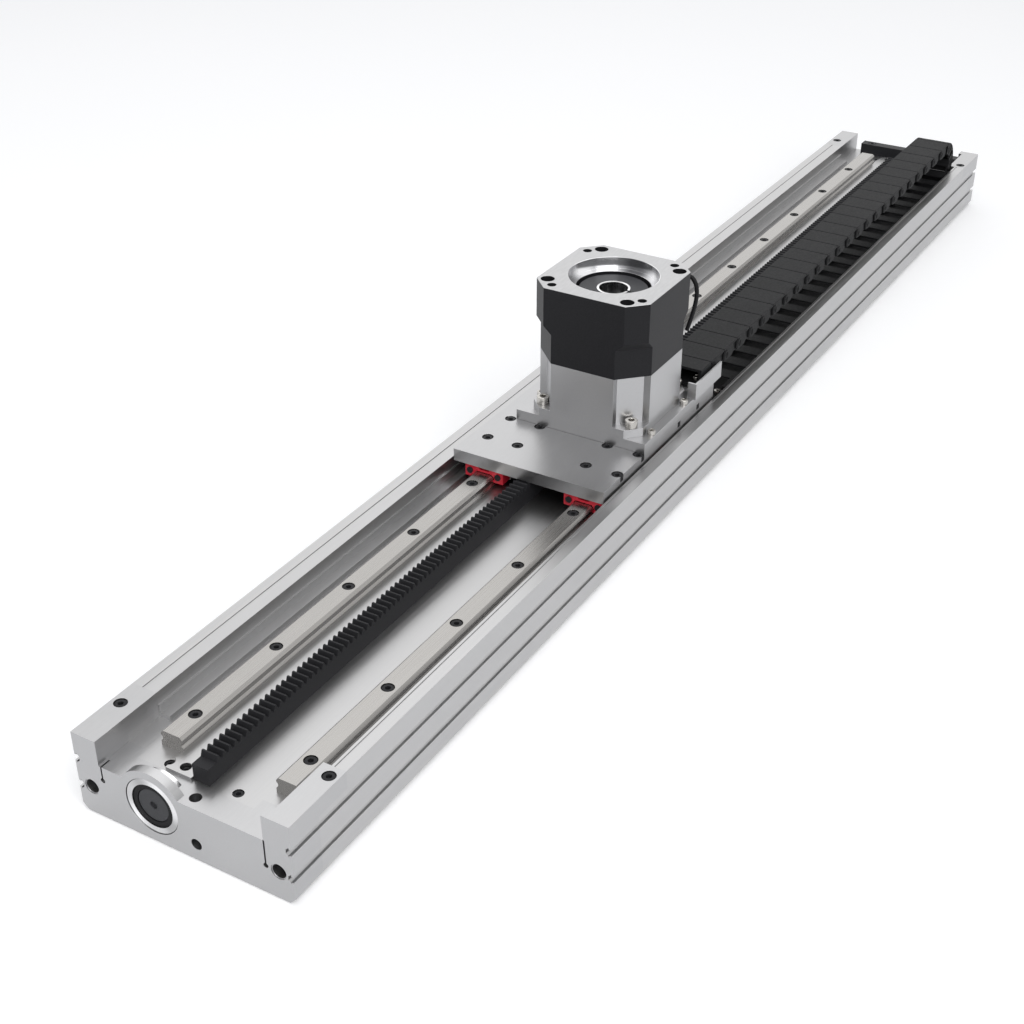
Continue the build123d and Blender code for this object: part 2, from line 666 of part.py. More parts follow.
left_rail.part.label = "left_rail"
export_step(left_rail.part, "parts/left_rail.step")

with BuildPart() as right_rail:
    rail(RAIL_RIGHT_X, RAIL_RIGHT_START, RAIL_RIGHT_END, RIGHT_HOLES)

right_rail.part.label = "right_rail"
export_step(right_rail.part, "parts/right_rail.step")

with BuildPart() as left_rail_screws:
    cap_screws(M4, LEFT_HOLES, RAIL_SEAT, RAIL_SCREW_TIP + 1)

left_rail_screws.part.label = "left_rail_screws"
export_step(left_rail_screws.part, "parts/left_rail_screws.step")

with BuildPart() as right_rail_screws:
    cap_screws(M4, RIGHT_HOLES, RAIL_SEAT, RAIL_SCREW_TIP + 1)

right_rail_screws.part.label = "right_rail_screws"
export_step(right_rail_screws.part, "parts/right_rail_screws.step")

# Rack: a tooth gap lies straight under the pinion shaft
RACK_PITCH = math.pi * MODULE
PITCH_LINE = RACK_TIP - MODULE


def rack_outline():
    slope = math.tan(PRESSURE_ANGLE)
    half = (RACK_PITCH / 2 - TOOTH_THINNING) / 2
    half_tip = half - MODULE * slope
    half_root = half + ROOT_DEPTH * slope
    low = from_front(RACK_START)
    high = from_front(RACK_END)
    points = [(low, FLOOR), (low, PITCH_LINE - ROOT_DEPTH)]
    first = math.ceil((low - GEAR_YY) / RACK_PITCH + 1)
    last = math.floor((high - GEAR_YY) / RACK_PITCH - 1)
    for number in range(first, last):
        centre = GEAR_YY + (number + 0.5) * RACK_PITCH
        points += [(centre - half_root, PITCH_LINE - ROOT_DEPTH), (centre - half_tip, RACK_TIP),
                   (centre + half_tip, RACK_TIP), (centre + half_root, PITCH_LINE - ROOT_DEPTH)]
    points += [(high, PITCH_LINE - ROOT_DEPTH), (high, FLOOR)]
    return points


with BuildPart() as rack:
    with BuildSketch(Plane.YZ.offset(RACK_LEFT)):
        with BuildLine():
            Polyline(*rack_outline(), close=True)
        make_face()
    extrude(amount=RACK_RIGHT - RACK_LEFT)

rack.part.label = "rack"
export_step(rack.part, "parts/rack.step")

# Carriage plates
BLOCK_CENTRES = [from_front(start + BLOCK_LENGTH / 2) for start in (FRONT_BLOCK_START, REAR_BLOCK_START)]
BLOCK_SCREWS = [(rail_x + across, centre + along)
                for rail_x in (RAIL_LEFT_X, RAIL_RIGHT_X) for centre in BLOCK_CENTRES
                for across in (-BLOCK_SCREW_X, BLOCK_SCREW_X) for along in (-BLOCK_SCREW_Y, BLOCK_SCREW_Y)]
BLOCK_SCREW_SEAT = CARRIAGE_TOP - M4[1] - 0.1
PLATE_SCREWS = ([(PLATE_SCREW_LEFT_X, from_front(d)) for d in PLATE_SCREWS_LEFT]
                + [(PLATE_SCREW_RIGHT_X, from_front(d)) for d in PLATE_SCREWS_RIGHT])
FOOT_SCREWS = [(GEAR_X + sx * (GEAR_HALF - FOOT_SCREW_INSET), GEAR_YY + sy * (GEAR_HALF - FOOT_SCREW_INSET))
               for sx in (-1, 1) for sy in (-1, 1)]
HOUSING_SCREWS = [(GEAR_X + sx * HOUSING_SCREW_X, GEAR_YY + sy * HOUSING_SCREW_Y)
                  for sx in (-1, 1) for sy in (-1, 1)]
TRAY_SCREWS = [(x, from_front(TRAY_SCREWS_Y)) for x in TRAY_SCREWS_X]

with BuildPart() as carriage_plate:
    slab(CARRIAGE_LEFT, CARRIAGE_RIGHT, from_front(PLATE_FRONT), from_front(PLATE_REAR), CARRIAGE_BOTTOM,
         CARRIAGE_TOP)
    # The free front part stands a little higher, as a face to carry a load
    slab(CARRIAGE_LEFT, CARRIAGE_RIGHT, from_front(PLATE_FRONT), from_front(UPPER_PLATE_FRONT - LOAD_PAD_GAP),
         CARRIAGE_TOP, LOAD_PAD_TOP)
    slab(WINDOW_LEFT, WINDOW_RIGHT, GEAR_YY - CARRIAGE_WINDOW_HALF, GEAR_YY + CARRIAGE_WINDOW_HALF,
         CARRIAGE_BOTTOM, CARRIAGE_TOP, mode=Mode.SUBTRACT)
    cut_for_screws(M4, BLOCK_SCREWS, LOAD_PAD_TOP, BLOCK_SCREW_SEAT, CARRIAGE_BOTTOM)
    cut_for_screws(M3, PLATE_SCREWS, CARRIAGE_TOP, CARRIAGE_TOP, CARRIAGE_BOTTOM)

carriage_plate.part.label = "carriage_plate"
export_step(carriage_plate.part, "parts/carriage_plate.step")

with BuildPart() as gearbox_plate:
    slab(UPPER_PLATE_LEFT, CARRIAGE_RIGHT, from_front(UPPER_PLATE_FRONT), from_front(PLATE_REAR),
         CARRIAGE_TOP, UPPER_PLATE_TOP)
    slab(WINDOW_LEFT, WINDOW_RIGHT, GEAR_YY - UPPER_WINDOW_HALF, GEAR_YY + UPPER_WINDOW_HALF,
         CARRIAGE_TOP, UPPER_PLATE_TOP, mode=Mode.SUBTRACT)
    cut_for_screws(M3, PLATE_SCREWS, UPPER_PLATE_TOP, UPPER_PLATE_TOP, CARRIAGE_TOP)
    cut_for_screws(M5, FOOT_SCREWS, UPPER_PLATE_TOP, UPPER_PLATE_TOP, CARRIAGE_TOP)
    cut_for_screws(M3, TRAY_SCREWS, UPPER_PLATE_TOP, UPPER_PLATE_TOP, CARRIAGE_TOP)

gearbox_plate.part.label = "gearbox_plate"
export_step(gearbox_plate.part, "parts/gearbox_plate.step")

with BuildPart() as gearbox_plate_screws:
    cap_screws(M3, PLATE_SCREWS, UPPER_PLATE_TOP, CARRIAGE_BOTTOM + 1)

gearbox_plate_screws.part.label = "gearbox_plate_screws"
export_step(gearbox_plate_screws.part, "parts/gearbox_plate_screws.step")

with BuildPart() as block_screws:
    cap_screws(M4, BLOCK_SCREWS, BLOCK_SCREW_SEAT, CARRIAGE_BOTTOM - BLOCK_SCREW_DEPTH + 1)

block_screws.part.label = "block_screws"
export_step(block_screws.part, "parts/block_screws.step")

# Bearing blocks, which ride on the rails


def channel(x, gap):
    """The rail's outline grown by the gap, open downwards."""
    grown = [(across + gap, FLOOR + up + (gap if up == RAIL_HEIGHT else 0)) for across, up in RAIL_PROFILE]
    grown[0] = (grown[0][0], FLOOR - 1)
    return [(x + across, z) for across, z in grown] + [(x - across, z) for across, z in reversed(grown)]


def cap_screw_spots(x):
    return [(x - CAP_SCREW_X, CAP_SCREW_Z), (x + CAP_SCREW_X, CAP_SCREW_Z)]


def bearing_block(x, start):
    half = BLOCK_WIDTH / 2
    low = from_front(start + CAP_LENGTH)
    high = from_front(start + BLOCK_LENGTH - CAP_LENGTH)
    section = [(x - half, BLOCK_BOTTOM), (x + half, BLOCK_BOTTOM), (x + half, CARRIAGE_BOTTOM),
               (x - half, CARRIAGE_BOTTOM)]
    outline_along_y(section, low, high)
    outline_along_y(channel(x, BLOCK_RAIL_GAP), low, high, mode=Mode.SUBTRACT)
    own = [spot for spot in BLOCK_SCREWS if abs(spot[0] - x) < half and low < spot[1] < high]
    cut_for_screws(M4, own, CARRIAGE_BOTTOM, CARRIAGE_BOTTOM, CARRIAGE_BOTTOM - BLOCK_SCREW_DEPTH)
    for spot in cap_screw_spots(x):
        rod_along_y((spot,), M3[2] + SCREW_CLEARANCE, low, low + 6, mode=Mode.SUBTRACT)
        rod_along_y((spot,), M3[2] + SCREW_CLEARANCE, high - 6, high, mode=Mode.SUBTRACT)


def end_caps(x, start):
    """The two red caps of one block, with a notch in the top edge."""
    half = BLOCK_WIDTH / 2 - CAP_INSET
    top = CARRIAGE_BOTTOM - 0.3
    section = [(x - half, BLOCK_BOTTOM + CAP_INSET), (x + half, BLOCK_BOTTOM + CAP_INSET), (x + half, top),
               (x + CAP_NOTCH_WIDTH / 2, top), (x + CAP_NOTCH_WIDTH / 2 - 1, top - CAP_NOTCH_DEPTH),
               (x - CAP_NOTCH_WIDTH / 2 + 1, top - CAP_NOTCH_DEPTH), (x - CAP_NOTCH_WIDTH / 2, top),
               (x - half, top)]
    for low in (start, start + BLOCK_LENGTH - CAP_LENGTH):
        outline_along_y(section, from_front(low), from_front(low + CAP_LENGTH))
    outline_along_y(channel(x, BLOCK_RAIL_GAP), from_front(start), from_front(start + BLOCK_LENGTH),
                    mode=Mode.SUBTRACT)
    rod_along_y(cap_screw_spots(x), M3[2] + SCREW_CLEARANCE, from_front(start),
                from_front(start + BLOCK_LENGTH), mode=Mode.SUBTRACT)


with BuildPart() as bearing_block_front_left:
    bearing_block(RAIL_LEFT_X, FRONT_BLOCK_START)

bearing_block_front_left.part.label = "bearing_block_front_left"
export_step(bearing_block_front_left.part, "parts/bearing_block_front_left.step")

with BuildPart() as bearing_block_front_right:
    bearing_block(RAIL_RIGHT_X, FRONT_BLOCK_START)

bearing_block_front_right.part.label = "bearing_block_front_right"
export_step(bearing_block_front_right.part, "parts/bearing_block_front_right.step")

with BuildPart() as bearing_block_rear_left:
    bearing_block(RAIL_LEFT_X, REAR_BLOCK_START)

bearing_block_rear_left.part.label = "bearing_block_rear_left"
export_step(bearing_block_rear_left.part, "parts/bearing_block_rear_left.step")

with BuildPart() as bearing_block_rear_right:
    bearing_block(RAIL_RIGHT_X, REAR_BLOCK_START)

bearing_block_rear_right.part.label = "bearing_block_rear_right"
export_step(bearing_block_rear_right.part, "parts/bearing_block_rear_right.step")

with BuildPart() as end_caps_front_left:
    end_caps(RAIL_LEFT_X, FRONT_BLOCK_START)

end_caps_front_left.part.label = "end_caps_front_left"
export_step(end_caps_front_left.part, "parts/end_caps_front_left.step")

with BuildPart() as end_caps_front_right:
    end_caps(RAIL_RIGHT_X, FRONT_BLOCK_START)

end_caps_front_right.part.label = "end_caps_front_right"
export_step(end_caps_front_right.part, "parts/end_caps_front_right.step")

with BuildPart() as end_caps_rear_left:
    end_caps(RAIL_LEFT_X, REAR_BLOCK_START)

end_caps_rear_left.part.label = "end_caps_rear_left"
export_step(end_caps_rear_left.part, "parts/end_caps_rear_left.step")

with BuildPart() as end_caps_rear_right:
    end_caps(RAIL_RIGHT_X, REAR_BLOCK_START)

end_caps_rear_right.part.label = "end_caps_rear_right"
export_step(end_caps_rear_right.part, "parts/end_caps_rear_right.step")

with BuildPart() as end_cap_screws:
    for rail_x in (RAIL_LEFT_X, RAIL_RIGHT_X):
        for start in (FRONT_BLOCK_START, REAR_BLOCK_START):
            near = from_front(start)
            far = from_front(start + BLOCK_LENGTH)
            rod_along_y(cap_screw_spots(rail_x), M3[2], near, near + CAP_LENGTH + 5)
            rod_along_y(cap_screw_spots(rail_x), M3[2], far - CAP_LENGTH - 5, far)
            rod_along_y(cap_screw_spots(rail_x), 2.2, near - 0.9, near)
            rod_along_y(cap_screw_spots(rail_x), 2.2, far, far + 0.9)

end_cap_screws.part.label = "end_cap_screws"
export_step(end_cap_screws.part, "parts/end_cap_screws.step")

# Gearbox, lower housing: foot, column with four corner pockets, two arms that reach down through the
# plates and carry the cross shaft
with BuildPart() as gearbox_housing:
    outline_up(chamfered_square(GEAR_X, GEAR_YY, GEAR_HALF, FOOT_CHAMFER), UPPER_PLATE_TOP, FOOT_TOP)
    slab(GEAR_X - GEAR_HALF, GEAR_X + GEAR_HALF, GEAR_YY - GEAR_HALF, GEAR_YY + GEAR_HALF, FOOT_TOP,
         HOUSING_TOP)
    for sx in (-1, 1):
        for sy in (-1, 1):
            corner_x = GEAR_X + sx * GEAR_HALF
            corner_y = GEAR_YY + sy * GEAR_HALF
            pocket = [(corner_x + sx, corner_y + sy), (corner_x + sx, corner_y - sy * POCKET_SIZE),
                      (corner_x - sx * POCKET_SHOULDER, corner_y - sy * POCKET_SIZE),
                      (corner_x - sx * POCKET_SIZE, corner_y - sy * POCKET_SHOULDER),
                      (corner_x - sx * POCKET_SIZE, corner_y + sy)]
            outline_up(pocket, FOOT_TOP, HOUSING_TOP, mode=Mode.SUBTRACT)
    slab(CAVITY_LEFT, CAVITY_RIGHT, GEAR_YY - CAVITY_HALF, GEAR_YY + CAVITY_HALF, UPPER_PLATE_TOP,
         CAVITY_TOP, mode=Mode.SUBTRACT)
    for arm_low, arm_high in ((ARM_LEFT, CAVITY_LEFT), (CAVITY_RIGHT, ARM_RIGHT)):
        slab(arm_low, arm_high, GEAR_YY - ARM_HALF, GEAR_YY + ARM_HALF, ARM_BOTTOM, UPPER_PLATE_TOP)
    rod_along_x(GEAR_YY, SHAFT_Z, SHAFT_BEARING_OUTER + FIT, LEFT_BEARING_X, CAVITY_LEFT,
                mode=Mode.SUBTRACT)
    rod_along_x(GEAR_YY, SHAFT_Z, SHAFT_BEARING_OUTER + FIT, CAVITY_RIGHT,
                RIGHT_BEARING_X + SHAFT_BEARING_WIDTH, mode=Mode.SUBTRACT)
    rod_along_x(GEAR_YY, SHAFT_Z, SHAFT_END_RADIUS, SHAFT_LEFT - 0.4, SHAFT_RIGHT + 0.4,
                mode=Mode.SUBTRACT)
    post(((GEAR_X, GEAR_YY),), OUTPUT_BEARING_OUTER + FIT, OUTPUT_BEARINGS_Z[0], HOUSING_TOP,
         mode=Mode.SUBTRACT)
    post(((GEAR_X, GEAR_YY),), ROOF_OPENING_RADIUS, CAVITY_TOP, HOUSING_TOP, mode=Mode.SUBTRACT)
    post(((GEAR_X, GEAR_YY),), BEVEL_CLEARANCE_RADIUS, BEVEL_CLEARANCE_BOTTOM, CAVITY_TOP,
         mode=Mode.SUBTRACT)
    cut_for_screws(M5, FOOT_SCREWS, FOOT_TOP, FOOT_TOP, UPPER_PLATE_TOP)
    post(HOUSING_SCREWS, M4[0] + 0.2, UPPER_PLATE_TOP, UPPER_PLATE_TOP + M4[1] + 0.5, mode=Mode.SUBTRACT)
    post(HOUSING_SCREWS, M4[2] + SCREW_CLEARANCE, UPPER_PLATE_TOP, HOUSING_TOP, mode=Mode.SUBTRACT)

gearbox_housing.part.label = "gearbox_housing"
export_step(gearbox_housing.part, "parts/gearbox_housing.step")

with BuildPart() as foot_screws:
    cap_screws(M5, FOOT_SCREWS, FOOT_TOP, CARRIAGE_TOP + 0.5)

foot_screws.part.label = "foot_screws"
export_step(foot_screws.part, "parts/foot_screws.step")

HOUSING_SCREW_SEAT = UPPER_PLATE_TOP + M4[1] + 0.5
HOUSING_SCREW_TIP = 118.0

with BuildPart() as housing_screws:
    post(HOUSING_SCREWS, M4[0], HOUSING_SCREW_SEAT - M4[1], HOUSING_SCREW_SEAT)
    post(HOUSING_SCREWS, M4[2], HOUSING_SCREW_SEAT, HOUSING_SCREW_TIP)

housing_screws.part.label = "housing_screws"
export_step(housing_screws.part, "parts/housing_screws.step")

# Gearbox, upper housing: it holds the ring gear, the hub bearing and the pilot bore for a motor
with BuildPart() as gearbox_body:
    outline_up(chamfered_square(GEAR_X, GEAR_YY, GEAR_HALF, BODY_UPPER_CHAMFER), HOUSING_TOP, BODY_TOP)
    for sx in (-1, 1):
        for sy in (-1, 1):
            # corner cut below the slope, then the slope itself as a wedge
            far_point = GEAR_HALF * 2 - BODY_LOWER_CHAMFER
            upper_point = GEAR_HALF * 2 - BODY_UPPER_CHAMFER
            reach = GEAR_HALF * 2 + 4
            diagonal = Plane(origin=(GEAR_X, GEAR_YY, 0), x_dir=(sx, sy, 0),
                             z_dir=Vector(sx, sy, 0).cross(Vector(0, 0, 1)).normalized())
            root = math.sqrt(2.0)
            with BuildSketch(diagonal):
                with BuildLine():
                    Polyline((far_point / root, HOUSING_TOP - 1), (far_point / root, SLOPE_BOTTOM),
                             (upper_point / root, SLOPE_TOP), (reach / root, SLOPE_TOP),
                             (reach / root, HOUSING_TOP - 1), close=True)
                make_face()
            extrude(amount=20, both=True, mode=Mode.SUBTRACT)
    centre = ((GEAR_X, GEAR_YY),)
    post(centre, RING_OUTER + FIT, HOUSING_TOP, RING_TOP, mode=Mode.SUBTRACT)
    post(centre, HUB_SEAT_LIP, RING_TOP, HUB_BEARING_BOTTOM, mode=Mode.SUBTRACT)
    post(centre, HUB_BEARING_OUTER + FIT, HUB_BEARING_BOTTOM, HUB_BEARING_BOTTOM + HUB_BEARING_HEIGHT,
         mode=Mode.SUBTRACT)
    post(centre, HUB_BORE_RADIUS, HUB_BEARING_BOTTOM + HUB_BEARING_HEIGHT, BODY_TOP, mode=Mode.SUBTRACT)
    post(centre, PILOT_RADIUS, BODY_TOP - PILOT_DEPTH, BODY_TOP, mode=Mode.SUBTRACT)
    post(around(GEAR_X, GEAR_YY, MOTOR_BOLT_RADIUS, 45 + MOTOR_HOLE_TURN, 4), MOTOR_HOLE_RADIUS,
         BODY_TOP - TOP_HOLE_DEPTH, BODY_TOP, mode=Mode.SUBTRACT)
    post(around(GEAR_X, GEAR_YY, MOTOR_BOLT_RADIUS, 45 + SMALL_HOLE_TURN, 4), SMALL_HOLE_RADIUS,
         BODY_TOP - TOP_HOLE_DEPTH, BODY_TOP, mode=Mode.SUBTRACT)
    post(HOUSING_SCREWS, M4[2] + SCREW_CLEARANCE, HOUSING_TOP, HOUSING_SCREW_TIP + 1, mode=Mode.SUBTRACT)

gearbox_body.part.label = "gearbox_body"
export_step(gearbox_body.part, "parts/gearbox_body.step")


def centred(points, x, y):
    return [(x + px, y + py) for px, py in points]


with BuildPart() as ring_gear:
    post(centre, RING_OUTER, RING_BOTTOM, RING_TOP)
    spaces = gear_outline(PLANET_MODULE, RING_TEETH, PLANET_DEDENDUM, PLANET_ADDENDUM, -PLANET_THINNING, 0, 1)
    outline_up(centred(spaces, GEAR_X, GEAR_YY), RING_BOTTOM, RING_TOP, mode=Mode.SUBTRACT)

ring_gear.part.label = "ring_gear"
export_step(ring_gear.part, "parts/ring_gear.step")

# Cross shaft, its bearings, the drive pinion and the bevel gear
with BuildPart() as cross_shaft:
    rod_along_x(GEAR_YY, SHAFT_Z, SHAFT_RADIUS, SHAFT_LEFT, SHAFT_RIGHT)

cross_shaft.part.label = "cross_shaft"
export_step(cross_shaft.part, "parts/cross_shaft.step")

with BuildPart() as cross_shaft_bearings:
    for bearing_x in (LEFT_BEARING_X, RIGHT_BEARING_X):
        rod_along_x(GEAR_YY, SHAFT_Z, SHAFT_BEARING_OUTER, bearing_x, bearing_x + SHAFT_BEARING_WIDTH)
    rod_along_x(GEAR_YY, SHAFT_Z, SHAFT_RADIUS + FIT, LEFT_BEARING_X, RIGHT_BEARING_X + SHAFT_BEARING_WIDTH,
                mode=Mode.SUBTRACT)

cross_shaft_bearings.part.label = "cross_shaft_bearings"
export_step(cross_shaft_bearings.part, "parts/cross_shaft_bearings.step")

with BuildPart() as drive_pinion:
    with BuildSketch(Plane.YZ.offset(PINION_LEFT)):
        with BuildLine():
            teeth = gear_outline(MODULE, PINION_TEETH, MODULE, ROOT_DEPTH, TOOTH_THINNING, -math.pi / 2, 2)
            Polyline(*centred(teeth, GEAR_YY, SHAFT_Z), close=True)
        make_face()
    extrude(amount=PINION_RIGHT - PINION_LEFT)
    rod_along_x(GEAR_YY, SHAFT_Z, SHAFT_RADIUS + FIT, PINION_LEFT, PINION_RIGHT, mode=Mode.SUBTRACT)

drive_pinion.part.label = "drive_pinion"
export_step(drive_pinion.part, "parts/drive_pinion.step")

# The bevel pair shares one apex where the two shafts cross; every tooth runs towards it
BEVEL_GEAR_RADIUS = BEVEL_MODULE * BEVEL_GEAR_TEETH / 2
BEVEL_PINION_RADIUS = BEVEL_MODULE * BEVEL_PINION_TEETH / 2
BEVEL_ANGLE = math.atan2(BEVEL_GEAR_RADIUS, BEVEL_PINION_RADIUS)
GEAR_LEAN = math.cos(BEVEL_ANGLE) + math.sin(BEVEL_ANGLE) * math.tan(BEVEL_ANGLE)
PINION_LEAN = math.sin(BEVEL_ANGLE) + math.cos(BEVEL_ANGLE) / math.tan(BEVEL_ANGLE)
BEVEL_GEAR_BACK = GEAR_X - BEVEL_PINION_RADIUS
BEVEL_GEAR_FACE = GEAR_X - BEVEL_PINION_RADIUS * BEVEL_FACE
BEVEL_PINION_BACK = SHAFT_Z + BEVEL_GEAR_RADIUS
BEVEL_PINION_FACE = SHAFT_Z + BEVEL_GEAR_RADIUS * BEVEL_FACE

with BuildPart() as bevel_gear:
    gear_teeth = cone_outline(BEVEL_GEAR_RADIUS, BEVEL_GEAR_TEETH, BEVEL_ADDENDUM, BEVEL_DEDENDUM,
                              math.pi / 2 + math.pi / BEVEL_GEAR_TEETH, GEAR_LEAN)
    for plane_x, scale in ((BEVEL_GEAR_BACK, 1.0), (BEVEL_GEAR_FACE, BEVEL_FACE)):
        with BuildSketch(Plane.YZ.offset(plane_x)):
            with BuildLine():
                Polyline(*[(GEAR_YY + y * scale, SHAFT_Z + z * scale) for y, z in gear_teeth], close=True)
            make_face()
    loft(ruled=True)
    rod_along_x(GEAR_YY, SHAFT_Z, BEVEL_HUB_RADIUS, PINION_RIGHT + 0.2, BEVEL_HUB_RIGHT)
    rod_along_x(GEAR_YY, SHAFT_Z, SHAFT_RADIUS + FIT, PINION_RIGHT, BEVEL_HUB_RIGHT, mode=Mode.SUBTRACT)

bevel_gear.part.label = "bevel_gear"
export_step(bevel_gear.part, "parts/bevel_gear.step")

with BuildPart() as bevel_pinion:
    pinion_teeth = cone_outline(BEVEL_PINION_RADIUS, BEVEL_PINION_TEETH, BEVEL_ADDENDUM, BEVEL_DEDENDUM,
                                math.pi, PINION_LEAN)
    for plane_z, scale in ((BEVEL_PINION_FACE, BEVEL_FACE), (BEVEL_PINION_BACK, 1.0)):
        with BuildSketch(Plane.XY.offset(plane_z)):
            with BuildLine():
                Polyline(*[(GEAR_X + x * scale, GEAR_YY + y * scale) for x, y in pinion_teeth], close=True)
            make_face()
    loft(ruled=True)
    post(centre, BEVEL_HUB_RADIUS - 0.5, BEVEL_PINION_BACK, CAVITY_TOP + 0.4)
    post(centre, OUTPUT_TIP_RADIUS + FIT, BEVEL_PINION_FACE, CAVITY_TOP + 0.4, mode=Mode.SUBTRACT)

bevel_pinion.part.label = "bevel_pinion"
export_step(bevel_pinion.part, "parts/bevel_pinion.step")

# Planet stage
PLANET_CENTRE_RADIUS = PLANET_MODULE * (SUN_TEETH + PLANET_TEETH) / 2
PLANET_CENTRES = around(GEAR_X, GEAR_YY, PLANET_CENTRE_RADIUS, 0, 3)

with BuildPart() as planet_carrier:
    post(centre, OUTPUT_TIP_RADIUS, OUTPUT_TIP_BOTTOM, OUTPUT_STEP)
    post(centre, OUTPUT_RADIUS, OUTPUT_STEP, CARRIER_BOTTOM)
    post(centre, CARRIER_RADIUS, CARRIER_BOTTOM, CARRIER_TOP)
    post(PLANET_CENTRES, PLANET_PIN_RADIUS + FIT, CARRIER_BOTTOM, CARRIER_TOP, mode=Mode.SUBTRACT)

planet_carrier.part.label = "planet_carrier"
export_step(planet_carrier.part, "parts/planet_carrier.step")

with BuildPart() as carrier_bearings:
    for bearing_z in OUTPUT_BEARINGS_Z:
        post(centre, OUTPUT_BEARING_OUTER, bearing_z, bearing_z + OUTPUT_BEARING_WIDTH)
    post(centre, OUTPUT_RADIUS + FIT, OUTPUT_BEARINGS_Z[0], OUTPUT_BEARINGS_Z[1] + OUTPUT_BEARING_WIDTH,
         mode=Mode.SUBTRACT)

carrier_bearings.part.label = "carrier_bearings"
export_step(carrier_bearings.part, "parts/carrier_bearings.step")

with BuildPart() as planet_pins:
    post(PLANET_CENTRES, PLANET_PIN_RADIUS, CARRIER_BOTTOM, PLANET_PIN_TOP)

planet_pins.part.label = "planet_pins"
export_step(planet_pins.part, "parts/planet_pins.step")


def planet(number):
    """A planet gear: one gap faces the sun gear, so one tooth faces the ring gear."""
    x, y = PLANET_CENTRES[number]
    facing = 2 * math.pi * number / 3
    outline = gear_outline(PLANET_MODULE, PLANET_TEETH, PLANET_ADDENDUM, PLANET_DEDENDUM, PLANET_THINNING,
                           facing, 1)
    outline_up(centred(outline, x, y), PLANET_BOTTOM, PLANET_TOP)
    post(((x, y),), PLANET_PIN_RADIUS + FIT, PLANET_BOTTOM, PLANET_TOP, mode=Mode.SUBTRACT)


with BuildPart() as planet_gear_1:
    planet(0)

planet_gear_1.part.label = "planet_gear_1"
export_step(planet_gear_1.part, "parts/planet_gear_1.step")

with BuildPart() as planet_gear_2:
    planet(1)

planet_gear_2.part.label = "planet_gear_2"
export_step(planet_gear_2.part, "parts/planet_gear_2.step")

with BuildPart() as planet_gear_3:
    planet(2)

planet_gear_3.part.label = "planet_gear_3"
export_step(planet_gear_3.part, "parts/planet_gear_3.step")

with BuildPart() as sun_gear:
    sun_teeth = gear_outline(PLANET_MODULE, SUN_TEETH, PLANET_ADDENDUM, PLANET_DEDENDUM, PLANET_THINNING, 0, 1)
    outline_up(centred(sun_teeth, GEAR_X, GEAR_YY), PLANET_BOTTOM, PLANET_TOP)
    post(centre, SUN_SHANK_RADIUS, PLANET_TOP, SUN_SHANK_TOP)

sun_gear.part.label = "sun_gear"
export_step(sun_gear.part, "parts/sun_gear.step")

# Clamp hub for the motor shaft
with BuildPart() as input_hub:
    post(centre, HUB_SLEEVE_RADIUS, HUB_SLEEVE_BOTTOM, HUB_BOTTOM)
    post(centre, HUB_RADIUS, HUB_BOTTOM, HUB_TOP)
    post(centre, SUN_SHANK_RADIUS + FIT, HUB_SLEEVE_BOTTOM, BUSHING_BOTTOM, mode=Mode.SUBTRACT)
    post(centre, BUSHING_OUTER + FIT, BUSHING_BOTTOM, HUB_TOP, mode=Mode.SUBTRACT)
    slab(GEAR_X, GEAR_X + HUB_RADIUS + 1, GEAR_YY - HUB_SLIT / 2, GEAR_YY + HUB_SLIT / 2, HUB_BOTTOM + 2,
         HUB_TOP, mode=Mode.SUBTRACT)
    rod_along_y(((GEAR_X + CLAMP_SCREW_OFFSET, CLAMP_SCREW_Z),), M4[2] + SCREW_CLEARANCE, GEAR_YY - 11,
                GEAR_YY + HUB_RADIUS, mode=Mode.SUBTRACT)
    rod_along_y(((GEAR_X + CLAMP_SCREW_OFFSET, CLAMP_SCREW_Z),), M4[0] + COUNTERBORE_CLEARANCE,
                GEAR_YY + 7, GEAR_YY + HUB_RADIUS, mode=Mode.SUBTRACT)

input_hub.part.label = "input_hub"
export_step(input_hub.part, "parts/input_hub.step")

with BuildPart() as clamp_screw:
    rod_along_y(((GEAR_X + CLAMP_SCREW_OFFSET, CLAMP_SCREW_Z),), M4[2], GEAR_YY - 10, GEAR_YY + 7)
    rod_along_y(((GEAR_X + CLAMP_SCREW_OFFSET, CLAMP_SCREW_Z),), M4[0], GEAR_YY + 7, GEAR_YY + 7 + M4[1])

clamp_screw.part.label = "clamp_screw"
export_step(clamp_screw.part, "parts/clamp_screw.step")

with BuildPart() as clamp_bushing:
    post(centre, BUSHING_OUTER, BUSHING_BOTTOM, BUSHING_TOP)
    post(centre, BUSHING_INNER, BUSHING_BOTTOM, BUSHING_TOP, mode=Mode.SUBTRACT)
    slab(GEAR_X, GEAR_X + BUSHING_OUTER + 1, GEAR_YY - HUB_SLIT / 2, GEAR_YY + HUB_SLIT / 2,
         HUB_BOTTOM + 2, BUSHING_TOP, mode=Mode.SUBTRACT)

clamp_bushing.part.label = "clamp_bushing"
export_step(clamp_bushing.part, "parts/clamp_bushing.step")

with BuildPart() as hub_bearing:
    post(centre, HUB_BEARING_OUTER, HUB_BEARING_BOTTOM, HUB_BEARING_BOTTOM + HUB_BEARING_HEIGHT)
    post(centre, HUB_SLEEVE_RADIUS + FIT, HUB_BEARING_BOTTOM, HUB_BEARING_BOTTOM + HUB_BEARING_HEIGHT,
         mode=Mode.SUBTRACT)

hub_bearing.part.label = "hub_bearing"
export_step(hub_bearing.part, "parts/hub_bearing.step")

# Cable chain


